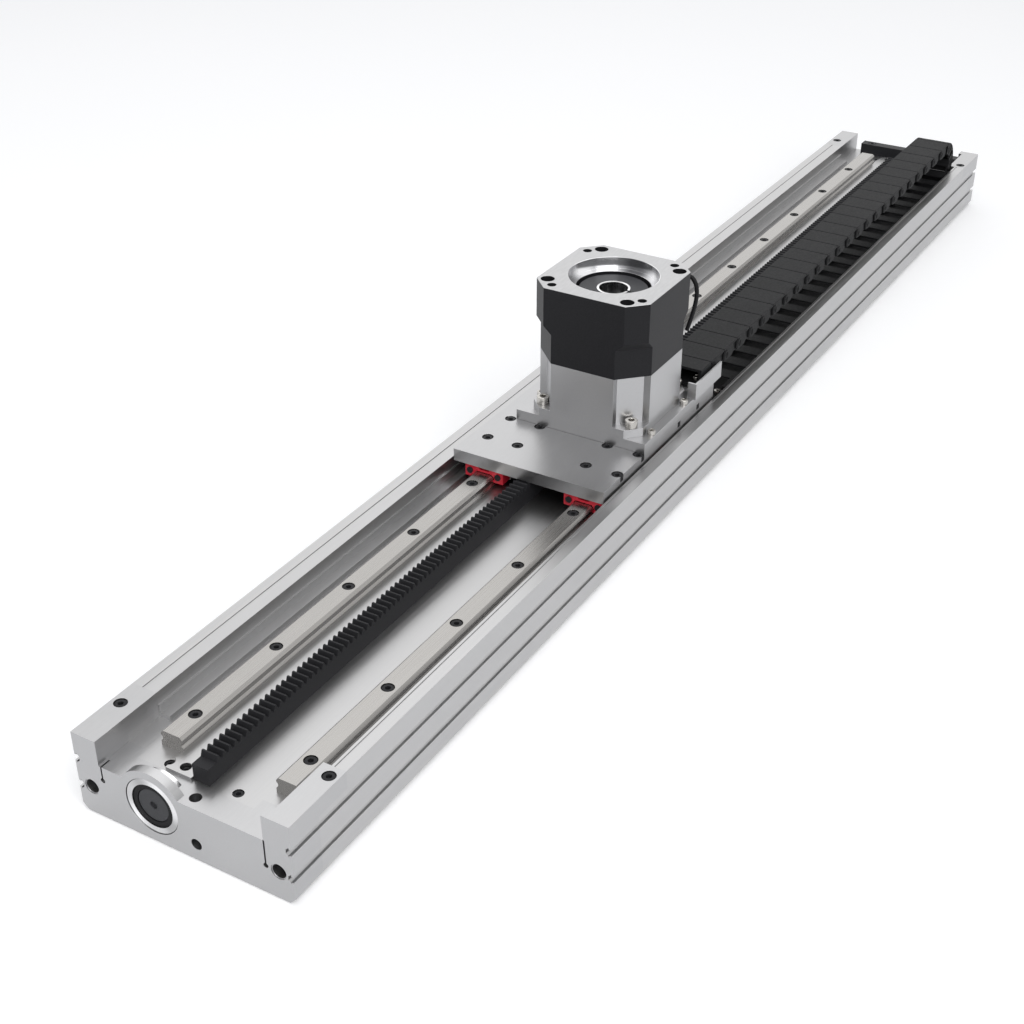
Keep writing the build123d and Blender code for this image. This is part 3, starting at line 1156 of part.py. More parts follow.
def chain_link(start, length, low, open_lid):
    """One link: two side plates, a floor and a lid, or two bars where the lid is open."""
    y_low = from_front(start)
    y_high = from_front(start + length)
    top = low + CHAIN_HEIGHT
    slab(CHAIN_LEFT, CHAIN_RIGHT, y_low, y_high, low, top)
    slab(CHAIN_LEFT + CHAIN_WALL, CHAIN_RIGHT - CHAIN_WALL, y_low, y_high, low + CHAIN_LID,
         top - CHAIN_LID, mode=Mode.SUBTRACT)
    if open_lid:
        slab(CHAIN_LEFT + CHAIN_WALL, CHAIN_RIGHT - CHAIN_WALL, y_low + 4, y_high - 4, top - CHAIN_LID,
             top, mode=Mode.SUBTRACT)


def chain_run(links, low, open_lid):
    for number in range(links):
        start = CHAIN_BEND_START - (number + 1) * CHAIN_PITCH
        chain_link(start, CHAIN_PITCH - CHAIN_GAP, low, open_lid)


UPPER_RUN_START = CHAIN_BEND_START - CHAIN_UPPER_LINKS * CHAIN_PITCH
LOWER_RUN_START = CHAIN_BEND_START - CHAIN_LOWER_LINKS * CHAIN_PITCH
MOVING_END_START = UPPER_RUN_START - CHAIN_GAP - CHAIN_END_LENGTH
FIXED_END_START = LOWER_RUN_START - CHAIN_GAP - CHAIN_END_LENGTH
CHAIN_MIDDLE = (CHAIN_LEFT + CHAIN_RIGHT) / 2
FIXED_END_SCREWS = [(x, from_front(FIXED_END_START + CHAIN_END_LENGTH / 2))
                    for x in (CHAIN_MIDDLE - 7, CHAIN_MIDDLE + 7)]

with BuildPart() as chain_upper_run:
    chain_run(CHAIN_UPPER_LINKS, CHAIN_HIGH, False)

chain_upper_run.part.label = "chain_upper_run"
export_step(chain_upper_run.part, "parts/chain_upper_run.step")

with BuildPart() as chain_lower_run:
    chain_run(CHAIN_LOWER_LINKS, CHAIN_LOW, True)

chain_lower_run.part.label = "chain_lower_run"
export_step(chain_lower_run.part, "parts/chain_lower_run.step")

BEND_OUTER = (CHAIN_HIGH + CHAIN_HEIGHT - CHAIN_LOW) / 2
BEND_INNER = BEND_OUTER - CHAIN_HEIGHT
BEND_CENTRE_Z = CHAIN_LOW + BEND_OUTER


def bend_sector(link, inner, outer, margin):
    """Corner points of one bend link, in the Y-Z plane, between two radii."""
    first = -math.pi / 2 + math.pi * link / CHAIN_BEND_LINKS
    last = first + math.pi / CHAIN_BEND_LINKS
    y = from_front(CHAIN_BEND_START)
    steps = 4
    points = []
    for radius, ends in ((outer, (first, last)), (inner, (last, first))):
        gap = margin / radius
        low, high = (ends[0] + gap, ends[1] - gap) if ends[0] < ends[1] else (ends[0] - gap, ends[1] + gap)
        for step in range(steps + 1):
            angle = low + (high - low) * step / steps
            points.append((y + radius * math.cos(angle), BEND_CENTRE_Z + radius * math.sin(angle)))
    return points


with BuildPart() as chain_bend:
    for link in range(CHAIN_BEND_LINKS):
        with BuildSketch(Plane.YZ.offset(CHAIN_LEFT)):
            with BuildLine():
                Polyline(*bend_sector(link, BEND_INNER, BEND_OUTER, CHAIN_GAP / 2), close=True)
            make_face()
        extrude(amount=CHAIN_RIGHT - CHAIN_LEFT)
        with BuildSketch(Plane.YZ.offset(CHAIN_LEFT + CHAIN_WALL)):
            with BuildLine():
                Polyline(*bend_sector(link, BEND_INNER + CHAIN_LID, BEND_OUTER - CHAIN_LID, -CHAIN_GAP),
                         close=True)
            make_face()
        extrude(amount=CHAIN_RIGHT - CHAIN_LEFT - 2 * CHAIN_WALL, mode=Mode.SUBTRACT)

chain_bend.part.label = "chain_bend"
export_step(chain_bend.part, "parts/chain_bend.step")

with BuildPart() as chain_fixed_end:
    fixed_low = from_front(FIXED_END_START)
    fixed_high = from_front(FIXED_END_START + CHAIN_END_LENGTH)
    slab(CHAIN_LEFT, CHAIN_RIGHT, fixed_low, fixed_high, FLOOR, CHAIN_LOW + CHAIN_HEIGHT)
    slab(CHAIN_LEFT + CHAIN_WALL, CHAIN_RIGHT - CHAIN_WALL, fixed_low, fixed_high, FLOOR + 2.5,
         CHAIN_LOW + CHAIN_HEIGHT, mode=Mode.SUBTRACT)
    cut_for_screws(M3, FIXED_END_SCREWS, FLOOR + 2.5, FLOOR + 2.5, FLOOR)

chain_fixed_end.part.label = "chain_fixed_end"
export_step(chain_fixed_end.part, "parts/chain_fixed_end.step")

with BuildPart() as fixed_end_screws:
    cap_screws(M3, FIXED_END_SCREWS, FLOOR + 2.5, FLOOR)

fixed_end_screws.part.label = "fixed_end_screws"
export_step(fixed_end_screws.part, "parts/fixed_end_screws.step")

TRAY_FLOOR = UPPER_PLATE_TOP + TRAY_SHEET

with BuildPart() as chain_moving_end:
    moving_low = from_front(MOVING_END_START)
    moving_high = from_front(MOVING_END_START + CHAIN_END_LENGTH)
    slab(CHAIN_LEFT, CHAIN_RIGHT, moving_low, moving_high, TRAY_FLOOR, CHAIN_HIGH + CHAIN_HEIGHT)
    slab(CHAIN_LEFT + CHAIN_WALL, CHAIN_RIGHT - CHAIN_WALL, moving_low, moving_high, TRAY_FLOOR + 2.5,
         CHAIN_HIGH + CHAIN_HEIGHT - 2, mode=Mode.SUBTRACT)
    cut_for_screws(M3, TRAY_SCREWS, TRAY_FLOOR + 2.5, TRAY_FLOOR + 2.5, TRAY_FLOOR)

chain_moving_end.part.label = "chain_moving_end"
export_step(chain_moving_end.part, "parts/chain_moving_end.step")

with BuildPart() as chain_tray:
    slab(TRAY_LEFT, TRAY_RIGHT, from_front(TRAY_FRONT), from_front(TRAY_REAR), UPPER_PLATE_TOP, TRAY_FLOOR)
    slab(TRAY_RIGHT - TRAY_SHEET, TRAY_RIGHT, from_front(TRAY_TAB_FRONT), from_front(TRAY_REAR),
         UPPER_PLATE_TOP, TRAY_TOP)
    slab(TRAY_TAB_LEFT, TRAY_RIGHT, from_front(TRAY_TAB_FRONT), from_front(TRAY_TAB_FRONT + TRAY_SHEET),
         UPPER_PLATE_TOP, TRAY_TOP)
    cut_for_screws(M3, TRAY_SCREWS, TRAY_FLOOR, TRAY_FLOOR, UPPER_PLATE_TOP)

chain_tray.part.label = "chain_tray"
export_step(chain_tray.part, "parts/chain_tray.step")

with BuildPart() as tray_screws:
    cap_screws(M3, TRAY_SCREWS, TRAY_FLOOR + 2.5, CARRIAGE_TOP + 0.5)

tray_screws.part.label = "tray_screws"
export_step(tray_screws.part, "parts/tray_screws.step")

# Signal cable: out of the chain, up behind the gearbox and back in a small loop
with BuildPart() as signal_cable:
    back_face = GEAR_YY + GEAR_HALF
    with BuildLine():
        cable_path = Spline((36.0, back_face + 8.0, 71.5), (36.0, back_face + 4.6, 72.6),
                            (36.2, back_face + 2.2, 78.0), (38.0, back_face + 2.6, 95.0),
                            (41.0, back_face + 3.5, 128.0), (46.0, back_face + 6.0, 141.0),
                            (50.0, back_face + 5.0, 130.0), (48.0, back_face + 2.2, 112.0))
    with BuildSketch(Plane(origin=cable_path @ 0, z_dir=cable_path % 0)):
        Circle(CABLE_RADIUS)
    sweep()

signal_cable.part.label = "signal_cable"
export_step(signal_cable.part, "parts/signal_cable.step")
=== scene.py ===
import json
import math
import random

import bmesh
import bpy
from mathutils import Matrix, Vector
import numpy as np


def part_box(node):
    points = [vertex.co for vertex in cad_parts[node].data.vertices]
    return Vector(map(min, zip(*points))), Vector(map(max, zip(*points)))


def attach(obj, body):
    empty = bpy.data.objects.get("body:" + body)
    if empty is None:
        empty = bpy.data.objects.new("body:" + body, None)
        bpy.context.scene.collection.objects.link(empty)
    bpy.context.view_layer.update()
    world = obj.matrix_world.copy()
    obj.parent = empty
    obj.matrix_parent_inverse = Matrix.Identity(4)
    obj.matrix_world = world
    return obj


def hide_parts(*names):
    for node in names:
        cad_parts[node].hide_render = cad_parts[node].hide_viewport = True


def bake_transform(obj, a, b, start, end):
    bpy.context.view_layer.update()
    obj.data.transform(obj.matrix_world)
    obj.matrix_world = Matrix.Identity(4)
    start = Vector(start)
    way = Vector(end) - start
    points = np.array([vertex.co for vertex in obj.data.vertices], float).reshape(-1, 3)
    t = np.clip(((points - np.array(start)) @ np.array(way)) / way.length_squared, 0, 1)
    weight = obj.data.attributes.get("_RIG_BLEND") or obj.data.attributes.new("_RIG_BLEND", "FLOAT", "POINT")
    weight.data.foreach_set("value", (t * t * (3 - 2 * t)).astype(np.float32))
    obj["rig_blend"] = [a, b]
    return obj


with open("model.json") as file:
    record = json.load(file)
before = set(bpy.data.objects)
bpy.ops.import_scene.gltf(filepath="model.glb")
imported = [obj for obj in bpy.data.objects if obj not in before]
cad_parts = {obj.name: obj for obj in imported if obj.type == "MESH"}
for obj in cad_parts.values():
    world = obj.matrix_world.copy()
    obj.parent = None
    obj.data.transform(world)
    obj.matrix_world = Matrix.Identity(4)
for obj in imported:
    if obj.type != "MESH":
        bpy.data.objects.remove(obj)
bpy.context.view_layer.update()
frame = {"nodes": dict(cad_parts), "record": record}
NODES = frame["nodes"]
BODY_OF = {node: body for body, nodes in frame["record"]["behaviour"]["bodies"].items() for node in nodes}
SLOT_OF = {entry["node"]: entry["material_slot"] for entry in frame["record"]["subparts"]}

# Sizes in metres, from the model's own record of the object
HALF_LENGTH = 0.553
GEAR_X = 0.012
GEAR_Y = -0.115
BODY_TOP = 0.159
PILOT_BOTTOM = 0.151
PILOT_RADIUS = 0.030
BORE_X = -0.0195
BORE_Z = 0.023
CHAIN_MIDDLE = 0.0435
CHAIN_HALF_WIDTH = 0.0155
CHAIN_HEIGHT = 0.0134
CHAIN_PITCH = 0.0222
CHAIN_BEND_Y = 1.033 - HALF_LENGTH
CHAIN_LOW = 0.0355
CHAIN_HIGH = 0.0676
CHAIN_LINK_HEIGHT = 0.0108
CHAIN_OUTER = 0.02275

# Lead behind the gearbox: its radius in metres and its route in millimetres
CABLE_RADIUS = 0.0015
CABLE_ROUTE = ((36.0, -69.2, 72.6), (36.0, -70.6, 84.0), (37.5, -70.4, 104.0), (38.5, -69.6, 126.0),
               (40.0, -68.6, 143.0), (46.0, -68.0, 149.5), (52.0, -68.4, 141.0), (51.0, -69.8, 125.0),
               (47.0, -71.4, 110.0))

# Camera fitted to the photograph, with its tilt below the horizon and its turn in degrees
CAMERA_PLACE = (0.45127, -0.98866, 0.57990)
CAMERA_TILT = 31.7535
CAMERA_TURN = 30.6143
CAMERA_LENS = 56.37
CAMERA_SENSOR = 36.0

# Light in the room, and the glow that the floor shows to the camera and to reflections alone
ROOM_LIGHT = 0.35
FLOOR_LIFT = 0.12
FLOOR_REACH = 6.0
FLOOR_DROP = 0.0005

# Points closer together than this are one point of a CAD mesh
SAME_POINT = 2e-6


def from_front(distance_mm):
    return distance_mm / 1000.0 - HALF_LENGTH


# Camera and light

def make_camera():
    data = bpy.data.cameras.new("camera")
    data.sensor_width = CAMERA_SENSOR
    data.lens = CAMERA_LENS
    data.clip_end = 20.0
    camera = bpy.data.objects.new("camera", data)
    camera.location = CAMERA_PLACE
    camera.rotation_euler = (math.radians(90.0 - CAMERA_TILT), 0.0, math.radians(CAMERA_TURN))
    bpy.context.scene.collection.objects.link(camera)
    bpy.context.scene.camera = camera


def soft_box(name, place, target, size, power):
    data = bpy.data.lights.new(name, "AREA")
    data.shape = "RECTANGLE"
    data.size, data.size_y = size
    data.energy = power
    light = bpy.data.objects.new(name, data)
    light.location = place
    light.rotation_euler = (Vector(target) - Vector(place)).to_track_quat("-Z", "Y").to_euler()
    light.visible_camera = False
    bpy.context.scene.collection.objects.link(light)


def make_world():
    world = bpy.data.worlds.new("studio")
    bpy.context.scene.world = world
    world.use_nodes = True
    nodes = world.node_tree.nodes
    links = world.node_tree.links
    nodes.clear()
    output = nodes.new("ShaderNodeOutputWorld")
    room = nodes.new("ShaderNodeBackground")
    room.inputs["Color"].default_value = (0.93, 0.95, 1.0, 1.0)
    room.inputs["Strength"].default_value = ROOM_LIGHT
    white = nodes.new("ShaderNodeBackground")
    white.inputs["Color"].default_value = (1.0, 1.0, 1.0, 1.0)
    white.inputs["Strength"].default_value = 1.0
    path = nodes.new("ShaderNodeLightPath")
    seen = nodes.new("ShaderNodeMath")
    seen.operation = "MAXIMUM"
    also = nodes.new("ShaderNodeMath")
    also.operation = "MAXIMUM"
    links.new(path.outputs["Is Camera Ray"], seen.inputs[0])
    links.new(path.outputs["Is Glossy Ray"], also.inputs[0])
    links.new(path.outputs["Is Transmission Ray"], also.inputs[1])
    links.new(also.outputs[0], seen.inputs[1])
    mix = nodes.new("ShaderNodeMixShader")
    links.new(seen.outputs[0], mix.inputs["Fac"])
    links.new(room.outputs[0], mix.inputs[1])
    links.new(white.outputs[0], mix.inputs[2])
    links.new(mix.outputs[0], output.inputs["Surface"])


# Materials

class Surface:
    """A principled material whose colour, roughness and relief follow procedural patterns."""

    def __init__(self, name):
        self.material = bpy.data.materials.new(name)
        self.material.use_nodes = True
        self.nodes = self.material.node_tree.nodes
        self.links = self.material.node_tree.links
        self.shader = self.nodes["Principled BSDF"]
        self.place = self.nodes.new("ShaderNodeTexCoord").outputs["Object"]

    def noise(self, stretch, size, detail=3.0, rough=0.55):
        mapping = self.nodes.new("ShaderNodeMapping")
        mapping.inputs["Scale"].default_value = stretch
        self.links.new(self.place, mapping.inputs["Vector"])
        noise = self.nodes.new("ShaderNodeTexNoise")
        noise.inputs["Scale"].default_value = size
        noise.inputs["Detail"].default_value = detail
        noise.inputs["Roughness"].default_value = rough
        self.links.new(mapping.outputs["Vector"], noise.inputs["Vector"])
        return noise.outputs["Fac"]

    def span(self, value, low, high, start=0.3, end=0.7):
        node = self.nodes.new("ShaderNodeMapRange")
        node.inputs["From Min"].default_value = start
        node.inputs["From Max"].default_value = end
        node.inputs["To Min"].default_value = low
        node.inputs["To Max"].default_value = high
        self.links.new(value, node.inputs["Value"])
        return node.outputs["Result"]

    def math(self, operation, first, second):
        node = self.nodes.new("ShaderNodeMath")
        node.operation = operation
        for socket, value in zip(node.inputs, (first, second)):
            if isinstance(value, (int, float)):
                socket.default_value = value
            else:
                self.links.new(value, socket)
        return node.outputs[0]

    def blend(self, factor, first, second):
        """Mix of two colours; each is a colour or a socket."""
        node = self.nodes.new("ShaderNodeMix")
        node.data_type = "RGBA"
        self.links.new(factor, node.inputs["Factor"])
        for socket, value in ((node.inputs[6], first), (node.inputs[7], second)):
            if isinstance(value, tuple):
                socket.default_value = (*value, 1.0)
            else:
                self.links.new(value, socket)
        return node.outputs[2]

    def relief(self, height, strength, depth):
        bump = self.nodes.new("ShaderNodeBump")
        bump.inputs["Strength"].default_value = strength
        bump.inputs["Distance"].default_value = depth
        self.links.new(height, bump.inputs["Height"])
        self.links.new(bump.outputs["Normal"], self.shader.inputs["Normal"])

    def set(self, socket, value):
        if isinstance(value, tuple):
            self.shader.inputs[socket].default_value = (*value, 1.0)
        elif isinstance(value, (int, float)):
            self.shader.inputs[socket].default_value = value
        else:
            self.links.new(value, self.shader.inputs[socket])


def shade(colour, factor):
    return tuple(min(1.0, channel * factor) for channel in colour)


def metal(name, colour, stretch, size, vary, rough, rough_span, relief, metallic=1.0):
    """Metal with a fine tool grain that runs along the stretch's low axis, and broad faint clouds."""
    surface = Surface(name)
    grain = surface.noise(stretch, size)
    cloud = surface.noise((1.0, 1.0, 1.0), 11.0, 2.0)
    fine = surface.blend(surface.span(grain, 0.0, 1.0), shade(colour, 1 - vary), shade(colour, 1 + vary))
    surface.set("Base Color", surface.blend(surface.span(cloud, 0.0, 0.35), fine, shade(colour, 0.9)))
    surface.set("Metallic", metallic)
    surface.set("Roughness", surface.span(grain, rough - rough_span, rough + rough_span))
    surface.relief(grain, relief, 0.0002)
    return surface.material


def plastic(name, colour, size, rough, relief, vary=0.12):
    surface = Surface(name)
    grain = surface.noise((1.0, 1.0, 1.0), size, 4.0)
    cloud = surface.noise((1.0, 1.0, 1.0), 40.0, 2.0)
    surface.set("Base Color", surface.blend(surface.span(cloud, 0.0, 1.0), shade(colour, 1 - vary),
                                            shade(colour, 1 + vary)))
    surface.set("Roughness", surface.span(grain, rough - 0.07, rough + 0.07))
    surface.relief(grain, relief, 0.00015)
    return surface.material


def turned_with_painted_sheen(name, colour, centre, axis, rough=0.16):
    """Lathe-turned bright metal: painted sheen bands round an axis darken and brighten its colour, and fine
    rings across them vary its roughness and relief.
    """
    surface = Surface(name)
    shift = surface.nodes.new("ShaderNodeVectorMath")
    shift.operation = "SUBTRACT"
    shift.inputs[1].default_value = centre
    surface.links.new(surface.place, shift.inputs[0])
    parts = surface.nodes.new("ShaderNodeSeparateXYZ")
    surface.links.new(shift.outputs["Vector"], parts.inputs["Vector"])
    across = {"Z": ("X", "Y"), "Y": ("X", "Z")}[axis]
    angle = surface.math("ARCTAN2", parts.outputs[across[1]], parts.outputs[across[0]])
    # Painted sheen: the colour darkens and brightens in bands with the angle round the axis, a painted
    # reflection
    painted_sheen_wave = surface.math("SINE", surface.math("MULTIPLY", angle, 2.0), 0.0)
    painted_sheen_wave_two = surface.math("SINE", surface.math("ADD", surface.math("MULTIPLY", angle, 5.0), 1.3), 0.0)
    both = surface.math("ADD", surface.math("MULTIPLY", painted_sheen_wave, 0.7), surface.math("MULTIPLY", painted_sheen_wave_two, 0.3))
    surface.set("Base Color", surface.blend(surface.span(both, 0.0, 1.0, -0.8, 0.9), shade(colour, 0.45),
                                            colour))
    rings = surface.noise((1.0, 1.0, 1.0), 1400.0, 2.0)
    surface.set("Metallic", 1.0)
    surface.set("Roughness", surface.span(rings, rough - 0.05, rough + 0.06))
    surface.relief(rings, 0.03, 0.0001)
    return surface.material


def gearbox_black(bare):
    """Black anodised body whose top face is milled bare and whose pilot bore is turned bright; painted sheen
    bands round the axis darken and brighten the bore's wall colour.
    """
    surface = Surface("gearbox_black")
    parts = surface.nodes.new("ShaderNodeSeparateXYZ")
    surface.links.new(surface.place, parts.inputs["Vector"])
    x = surface.math("SUBTRACT", parts.outputs["X"], GEAR_X)
    y = surface.math("SUBTRACT", parts.outputs["Y"], GEAR_Y)
    radius = surface.math("SQRT", surface.math("ADD", surface.math("MULTIPLY", x, x),
                                               surface.math("MULTIPLY", y, y)), 0.0)
    top = surface.math("GREATER_THAN", parts.outputs["Z"], BODY_TOP - 0.00022)
    in_pilot = surface.math("MULTIPLY", surface.math("LESS_THAN", radius, PILOT_RADIUS + 0.0004),
                            surface.math("GREATER_THAN", parts.outputs["Z"], PILOT_BOTTOM - 0.0002))
    bright = surface.math("MAXIMUM", top, in_pilot)
    # Painted sheen: the pilot bore wall's colour runs from dark to bright with the angle round the axis, a
    # painted reflection
    angle = surface.math("ARCTAN2", y, x)
    sheen = surface.math("SINE", surface.math("MULTIPLY", angle, 3.0), 0.0)
    sheen_two = surface.math("SINE", surface.math("ADD", surface.math("MULTIPLY", angle, 7.0), 0.6), 0.0)
    sheen_bands = surface.math("ADD", surface.math("MULTIPLY", sheen, 0.6),
                         surface.math("MULTIPLY", sheen_two, 0.4))
    painted_sheen_wall = surface.blend(surface.span(sheen_bands, 0.0, 1.0, -0.7, 0.7), (0.30, 0.30, 0.31), (0.92, 0.92, 0.93))
    mill = surface.noise((1.0, 0.12, 1.0), 900.0)
    face = surface.blend(surface.span(mill, 0.0, 1.0), shade(bare, 0.93), shade(bare, 1.05))
    grain = surface.noise((1.0, 1.0, 1.0), 1500.0, 4.0)
    coat = surface.blend(surface.span(grain, 0.0, 1.0), (0.014, 0.014, 0.0155), (0.020, 0.020, 0.022))
    # Milled grain on the bare top face, painted sheen on the pilot bore's wall
    milled_and_sheen_colour = surface.blend(in_pilot, face, painted_sheen_wall)
    surface.set("Base Color", surface.blend(bright, coat, milled_and_sheen_colour))
    surface.set("Metallic", surface.math("MULTIPLY", bright, 0.95))
    plain = surface.span(grain, 0.34, 0.46)
    shiny = surface.math("ADD", surface.math("MULTIPLY", in_pilot, -0.16), 0.34)
    rough = surface.math("ADD", surface.math("MULTIPLY", surface.math("SUBTRACT", 1.0, bright), plain),
                         surface.math("MULTIPLY", bright, shiny))
    surface.set("Roughness", rough)
    surface.relief(grain, 0.03, 0.0001)
    return surface.material


ALUMINIUM = (0.46, 0.459, 0.462)
MILLED = (0.44, 0.44, 0.446)
MATERIALS = {
    "aluminium_profile": metal("aluminium_profile", ALUMINIUM, (1.0, 0.012, 1.0), 1500.0, 0.03, 0.32, 0.04,
                               0.008),
    "aluminium_machined": metal("aluminium_machined", MILLED, (1.0, 0.10, 1.0), 1100.0, 0.03, 0.33, 0.04,
                                0.008),
    "aluminium_bracket": metal("aluminium_bracket", MILLED, (0.2, 1.0, 1.0), 900.0, 0.03, 0.36, 0.05, 0.01),
    "rail_steel": metal("rail_steel", (0.37, 0.36, 0.347), (1.0, 0.01, 1.0), 1500.0, 0.03, 0.27, 0.03, 0.01),
    "gear_steel": metal("gear_steel", (0.42, 0.42, 0.43), (1.0, 1.0, 1.0), 1400.0, 0.06, 0.34, 0.06, 0.05),
    "black_steel": metal("black_steel", (0.022, 0.022, 0.024), (1.0, 1.0, 1.0), 1600.0, 0.2, 0.40, 0.08,
                         0.05, metallic=0.03),
    "bright_screw": metal("bright_screw", (0.47, 0.455, 0.43), (1.0, 1.0, 1.0), 1400.0, 0.07, 0.22, 0.05,
                          0.04),
    # Painted sheen: bands round the gearbox's axis darken and brighten this metal's colour
    "polished_steel": turned_with_painted_sheen("polished_steel", (0.86, 0.86, 0.87), (GEAR_X, GEAR_Y, 0.0), "Z"),
    "gearbox_black": gearbox_black(MILLED),
    "cap_red": plastic("cap_red", (0.56, 0.012, 0.03), 900.0, 0.36, 0.05),
    "chain_plastic": plastic("chain_plastic", (0.012, 0.0122, 0.013), 700.0, 0.55, 0.10),
    "seal_rubber": plastic("seal_rubber", (0.010, 0.010, 0.011), 900.0, 0.55, 0.10),
    "plug_grey": metal("plug_grey", (0.050, 0.051, 0.055), (1.0, 1.0, 1.0), 1100.0, 0.15, 0.36, 0.07, 0.05,
                       metallic=0.2),
    "cable_black": plastic("cable_black", (0.012, 0.012, 0.013), 800.0, 0.42, 0.06),
}
# The dark finishes mirror little of the white room
DARK_FINISHES = ("black_steel", "plug_grey", "gearbox_black", "chain_plastic", "seal_rubber", "cable_black")
DARK_IOR = 1.2
for slot_name in DARK_FINISHES:
    MATERIALS[slot_name].node_tree.nodes["Principled BSDF"].inputs["IOR"].default_value = DARK_IOR
# The bore ring's material has painted sheen bands round the bore's axis in its colour
BORE_RING_PAINTED_SHEEN = turned_with_painted_sheen("bore_ring_painted_sheen", (0.88, 0.88, 0.89), (BORE_X, 0.0, BORE_Z), "Y", 0.2)


def give(piece, material):
    piece.data.materials.clear()
    piece.data.materials.append(material)


def keep(piece, body):
    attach(piece, body)
    return piece


def new_piece(name, mesh):
    piece = bpy.data.objects.new(name, mesh)
    bpy.context.scene.collection.objects.link(piece)
    return piece


# Plain shapes for meshes built here

def box_into(work, low, high):
    corners = [work.verts.new((x, y, z)) for x in (low[0], high[0]) for y in (low[1], high[1])
               for z in (low[2], high[2])]
    for face in ((0, 1, 3, 2), (4, 6, 7, 5), (0, 4, 5, 1), (2, 3, 7, 6), (0, 2, 6, 4), (1, 5, 7, 3)):
        work.faces.new([corners[number] for number in face])


def plate_into(work, x_low, x_high, outline):
    """A flat plate whose Y-Z outline runs anticlockwise seen from +X."""
    near = [work.verts.new((x_low, y, z)) for y, z in outline]
    far = [work.verts.new((x_high, y, z)) for y, z in outline]
    count = len(outline)
    for number in range(count):
        follow = (number + 1) % count
        work.faces.new((near[number], near[follow], far[follow], far[number]))
    work.faces.new(list(reversed(near)))
    work.faces.new(far)


def ring_into(work, x_low, x_high, centre, outer, inner, count=14):
    """A flat ring whose axis lies along X."""
    def loop(x, radius):
        return [work.verts.new((x, centre[0] + radius * math.cos(2 * math.pi * n / count),
                                centre[1] + radius * math.sin(2 * math.pi * n / count)))
                for n in range(count)]
    near_out, near_in, far_in, far_out = (loop(x_low, outer), loop(x_low, inner), loop(x_high, inner),
                                          loop(x_high, outer))
    for first, second in ((near_out, far_out), (near_in, near_out), (far_in, near_in), (far_out, far_in)):
        for n in range(count):
            follow = (n + 1) % count
            work.faces.new((first[n], first[follow], second[follow], second[n]))


# CAD nodes with broken edges: a merged copy with a fine bevel stands for each of them

def block(name, low, high):
    """A plain box between two corners in millimetres; its length runs from the front end."""
    work = bmesh.new()
    box_into(work, (low[0] / 1000, from_front(low[1]), low[2] / 1000),
             (high[0] / 1000, from_front(high[1]), high[2] / 1000))
    mesh = bpy.data.meshes.new(name)
    work.to_mesh(mesh)
    work.free()
    return new_piece(name, mesh)


def reshape(mesh, changes):
    """Adds material in a box to a mesh or takes it away."""
    piece = new_piece("reshaped", mesh)
    boxes = []
    for number, (operation, low, high) in enumerate(changes):
        box = block("box_%d" % number, low, high)
        boxes.append(box)
        modifier = piece.modifiers.new("change_%d" % number, "BOOLEAN")
        modifier.operation = operation
        modifier.solver = "EXACT"
        modifier.object = box
    bpy.context.view_layer.update()
    made = bpy.data.meshes.new_from_object(piece.evaluated_get(bpy.context.evaluated_depsgraph_get()))
    for extra in boxes + [piece]:
        bpy.data.objects.remove(extra)
    return made


# Height of each end of the corners' slope in the CAD and here, and how far out the corners start
SHOULDER_LEVELS = ((0.144, 0.132), (0.130, 0.1265))
SHOULDER_REACH = 0.036


def lower_the_shoulders(mesh):
    """The gearbox body's corners widen lower down, over a short slope."""
    for vertex in mesh.vertices:
        across = math.hypot(vertex.co.x - GEAR_X, vertex.co.y - GEAR_Y)
        for old, new in SHOULDER_LEVELS:
            if across > SHOULDER_REACH and abs(vertex.co.z - old) < 1e-4:
                vertex.co.z = new


# The front and far blocks have no slots below and no lip on their left ear: boxes in millimetres
SLOT_MIDDLES = (-40, 40)
SLOT_HALF = 9
SLOT_TOP = 8.5
FRONT_BLOCK = (0.0, 22.99)
FAR_BLOCK = (1083.01, 1106.0)
LIP_X = (-53.5, -46.0)
LIP_Z = (35.0, 52.0)


def closed_slots(near, far):
    return [("UNION", (x - SLOT_HALF, near, 0.0), (x + SLOT_HALF, far, SLOT_TOP)) for x in SLOT_MIDDLES]


def lip_cut(near, far):
    return ("DIFFERENCE", (LIP_X[0], near, LIP_Z[0]), (LIP_X[1], far, LIP_Z[1]))


FRONT_LIP = lip_cut(-1, 47)
FAR_LIP = lip_cut(1059, 1107)
CHANGES = {"front_end_block": closed_slots(*FRONT_BLOCK) + [FRONT_LIP],
           "rear_end_block": closed_slots(*FAR_BLOCK) + [FAR_LIP],
           "base_profile": [FRONT_LIP, FAR_LIP]}


EDGE_ANGLE = math.radians(34.0)


def dress(node, width):
    """A merged copy of a CAD node with its edges broken by a fine bevel, in the node's place."""
    mesh = NODES[node].data.copy()
    if "custom_normal" in mesh.attributes:
        mesh.attributes.remove(mesh.attributes["custom_normal"])
    work = bmesh.new()
    work.from_mesh(mesh)
    bmesh.ops.remove_doubles(work, verts=work.verts, dist=SAME_POINT)
    work.to_mesh(mesh)
    work.free()
    if node == "gearbox_body":
        lower_the_shoulders(mesh)
    if node in CHANGES:
        mesh = reshape(mesh, CHANGES[node])
    work = bmesh.new()
    work.from_mesh(mesh)
    bmesh.ops.dissolve_limit(work, angle_limit=math.radians(0.6), verts=work.verts, edges=work.edges)
    work.to_mesh(mesh)
    work.free()
    for face in mesh.polygons:
        face.use_smooth = True
    mesh.set_sharp_from_angle(angle=EDGE_ANGLE)
    piece = new_piece(node + "_dressed", mesh)
    give(piece, MATERIALS[SLOT_OF[node]])
    bevel = piece.modifiers.new("broken_edges", "BEVEL")
    bevel.width = width
    bevel.segments = 2
    bevel.limit_method = "ANGLE"
    bevel.angle_limit = EDGE_ANGLE
    bevel.use_clamp_overlap = True
    bevel.harden_normals = True
    bevel.miter_outer = "MITER_ARC"
    keep(piece, BODY_OF[node])
    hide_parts(node)
    return piece


